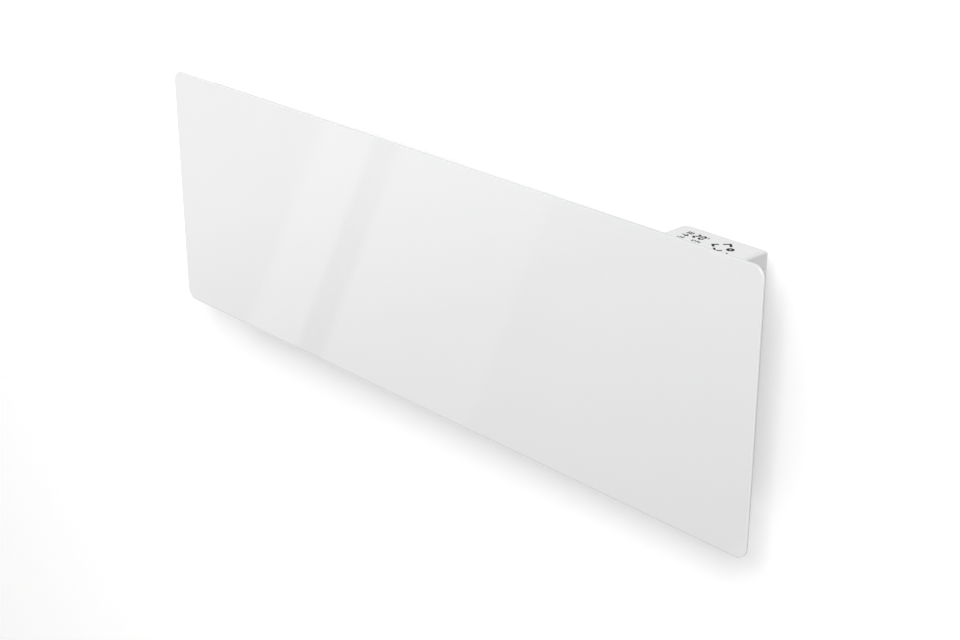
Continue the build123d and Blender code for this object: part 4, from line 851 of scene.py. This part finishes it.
def stage_material(name, colour, one_sided):
    """Matt paint; a one-sided surface lets the camera through from behind."""
    finish = Finish(name)
    finish.colour(varied(finish, colour, spread=0.004, patch=2.0))
    finish.fixed("Roughness", STAGE_ROUGHNESS)
    finish.fixed("Specular IOR Level", 0.0)
    if one_sided:
        clear = finish.node("BsdfTransparent")
        side = finish.node("NewGeometry").outputs["Backfacing"]
        mix = finish.node("MixShader", Fac=side)
        finish.feed(mix.inputs[1], finish.shader.outputs[0])
        finish.feed(mix.inputs[2], clear.outputs[0])
        finish.surface(mix.outputs[0])
    return finish.material


def wall():
    """A white wall that the camera sees and shadows fall on; it sends no light back."""
    w, y = WALL_HALF_WIDTH, WALL_BEHIND
    piece = plane("wall", [(-w, y, FLOOR_Z), (w, y, FLOOR_Z), (w, y, WALL_TOP), (-w, y, WALL_TOP)])
    dress(piece, stage_material("wall_paint", WALL_PAINT, True))
    piece.visible_diffuse = False
    piece.visible_shadow = False
    piece.visible_glossy = False
    piece.visible_transmission = False


def floor():
    """A pale floor that the camera sees, over one that sends light back up."""
    s = FLOOR_HALF
    for name, z, colour, seen in (
        ("floor", FLOOR_Z, FLOOR_PAINT, True),
        ("floor_bounce", FLOOR_BOUNCE_Z, FLOOR_TONE, False),
    ):
        piece = plane(name, [(-s, -s, z), (s, -s, z), (s, s, z), (-s, s, z)])
        dress(piece, stage_material(name + "_paint", colour, seen))
        piece.visible_camera = seen
        piece.visible_diffuse = not seen
        piece.visible_glossy = not seen
        piece.visible_shadow = not seen


def glowing_board(name, corners, finish, level):
    """A bright board that only reflections show."""
    piece = plane(name, corners)
    glow = finish.node("Emission", Strength=level)
    finish.surface(glow.outputs[0])
    dress(piece, finish.material)
    piece.visible_camera = False
    piece.visible_diffuse = False
    piece.visible_shadow = False


def light_card():
    """A board at the left whose bands show in the glass."""
    corners = [
        (CARD_X, CARD_NEAR, BOARD_BOTTOM), (CARD_X, CARD_FAR, BOARD_BOTTOM),
        (CARD_X, CARD_FAR, CARD_TOP), (CARD_X, CARD_NEAR, CARD_TOP),
    ]
    finish = Finish("light_card")
    split = finish.node("SeparateXYZ", Vector=finish.place)
    far, up = split.outputs["Y"], split.outputs["Z"]
    level = finish.ranged(up, CARD_LOW[1], CARD_WALL[1], CARD_LOW[0], CARD_WALL[0])
    rise = finish.ranged(up, 0.0, CARD_HIGH[1] - CARD_WALL[1], CARD_WALL[0], CARD_HIGH[0])
    level = finish.summed(level, rise)
    slant = finish.summed(far, finish.product(up, CARD_SLANT))
    before = 0.0
    for start, adds in CARD_BANDS:
        band = finish.ranged(slant, adds - before, 0.0, start - CARD_BLUR, start)
        level = finish.summed(level, band)
        before = adds
    reach = finish.product(
        finish.ranged(far, 0.0, 1.0, CARD_FADE_FAR[1], CARD_FADE_FAR[0]),
        finish.ranged(up, 1.0, 0.0, CARD_FADE_UP[0], CARD_FADE_UP[1]),
    )
    level = finish.summed(finish.product(finish.summed(level, -ROOM_LEVEL), reach), ROOM_LEVEL)
    glowing_board("light_card", corners, finish, level)


def graded_card(name, start, end, top, levels, edge):
    """An upright board from start to end in plan, paler upwards, dimmer past a slanted edge."""
    corners = [(*start, BOARD_BOTTOM), (*end, BOARD_BOTTOM), (*end, top), (*start, top)]
    finish = Finish(name)
    split = finish.node("SeparateXYZ", Vector=finish.place)
    level = finish.ranged(split.outputs["Z"], *levels, BOARD_BOTTOM, top)
    axis = 0 if start[1] == end[1] else 1
    side = math.copysign(1.0, start[axis] - end[axis])
    way = finish.summed(split.outputs[axis], finish.product(split.outputs["Z"], BOARD_SLANT))
    way = finish.product(way, side)
    step = finish.ranged(way, BOARD_DIM, 1.0, side * edge, side * edge + BOARD_BLUR)
    glowing_board(name, corners, finish, finish.product(level, step))


def soft_light(name, place, target, size, power, glossy):
    data = bpy.data.lights.new(name, "AREA")
    data.shape = "RECTANGLE"
    data.size, data.size_y = size
    data.energy = power
    lamp = new_object(name, data)
    lamp.location = place
    aim = Vector(target) - Vector(place)
    lamp.rotation_euler = aim.to_track_quat("-Z", "Y").to_euler()
    lamp.visible_camera = False
    lamp.visible_glossy = glossy


def surroundings():
    """Even white light from all round, and a brighter white that only the camera sees."""
    world = bpy.data.worlds.new("studio")
    world.use_nodes = True
    tree = world.node_tree
    room = tree.nodes["Background"]
    backdrop = tree.nodes.new("ShaderNodeBackground")
    for shade, level in ((room, ROOM_LEVEL), (backdrop, BACKDROP_LEVEL)):
        shade.inputs["Color"].default_value = (1, 1, 1, 1)
        shade.inputs["Strength"].default_value = level
    mix = tree.nodes.new("ShaderNodeMixShader")
    tree.links.new(tree.nodes.new("ShaderNodeLightPath").outputs["Is Camera Ray"], mix.inputs[0])
    tree.links.new(room.outputs[0], mix.inputs[1])
    tree.links.new(backdrop.outputs[0], mix.inputs[2])
    tree.links.new(mix.outputs[0], tree.nodes["World Output"].inputs["Surface"])
    bpy.context.scene.world = world


def camera():
    data = bpy.data.cameras.new("camera")
    data.lens = CAMERA_LENS
    data.sensor_width = SENSOR_WIDTH
    made = new_object("camera", data)
    azimuth, elevation = math.radians(CAMERA_AZIMUTH), math.radians(CAMERA_ELEVATION)
    back = Vector((
        math.sin(azimuth) * math.cos(elevation),
        -math.cos(azimuth) * math.cos(elevation),
        math.sin(elevation),
    ))
    made.location = CAMERA_PLACE
    made.rotation_euler = back.to_track_quat("Z", "Y").to_euler()
    bpy.context.scene.camera = made


dress_cad_nodes()
display_marks()
status_marks()
key_marks()
rocker_marks()
casing_screws()
wall()
floor()
light_card()
for card in GRADED_CARDS:
    graded_card(*card)
for light in LIGHTS:
    soft_light(*light)
surroundings()
camera()
bpy.context.scene.view_settings.view_transform = "Standard"
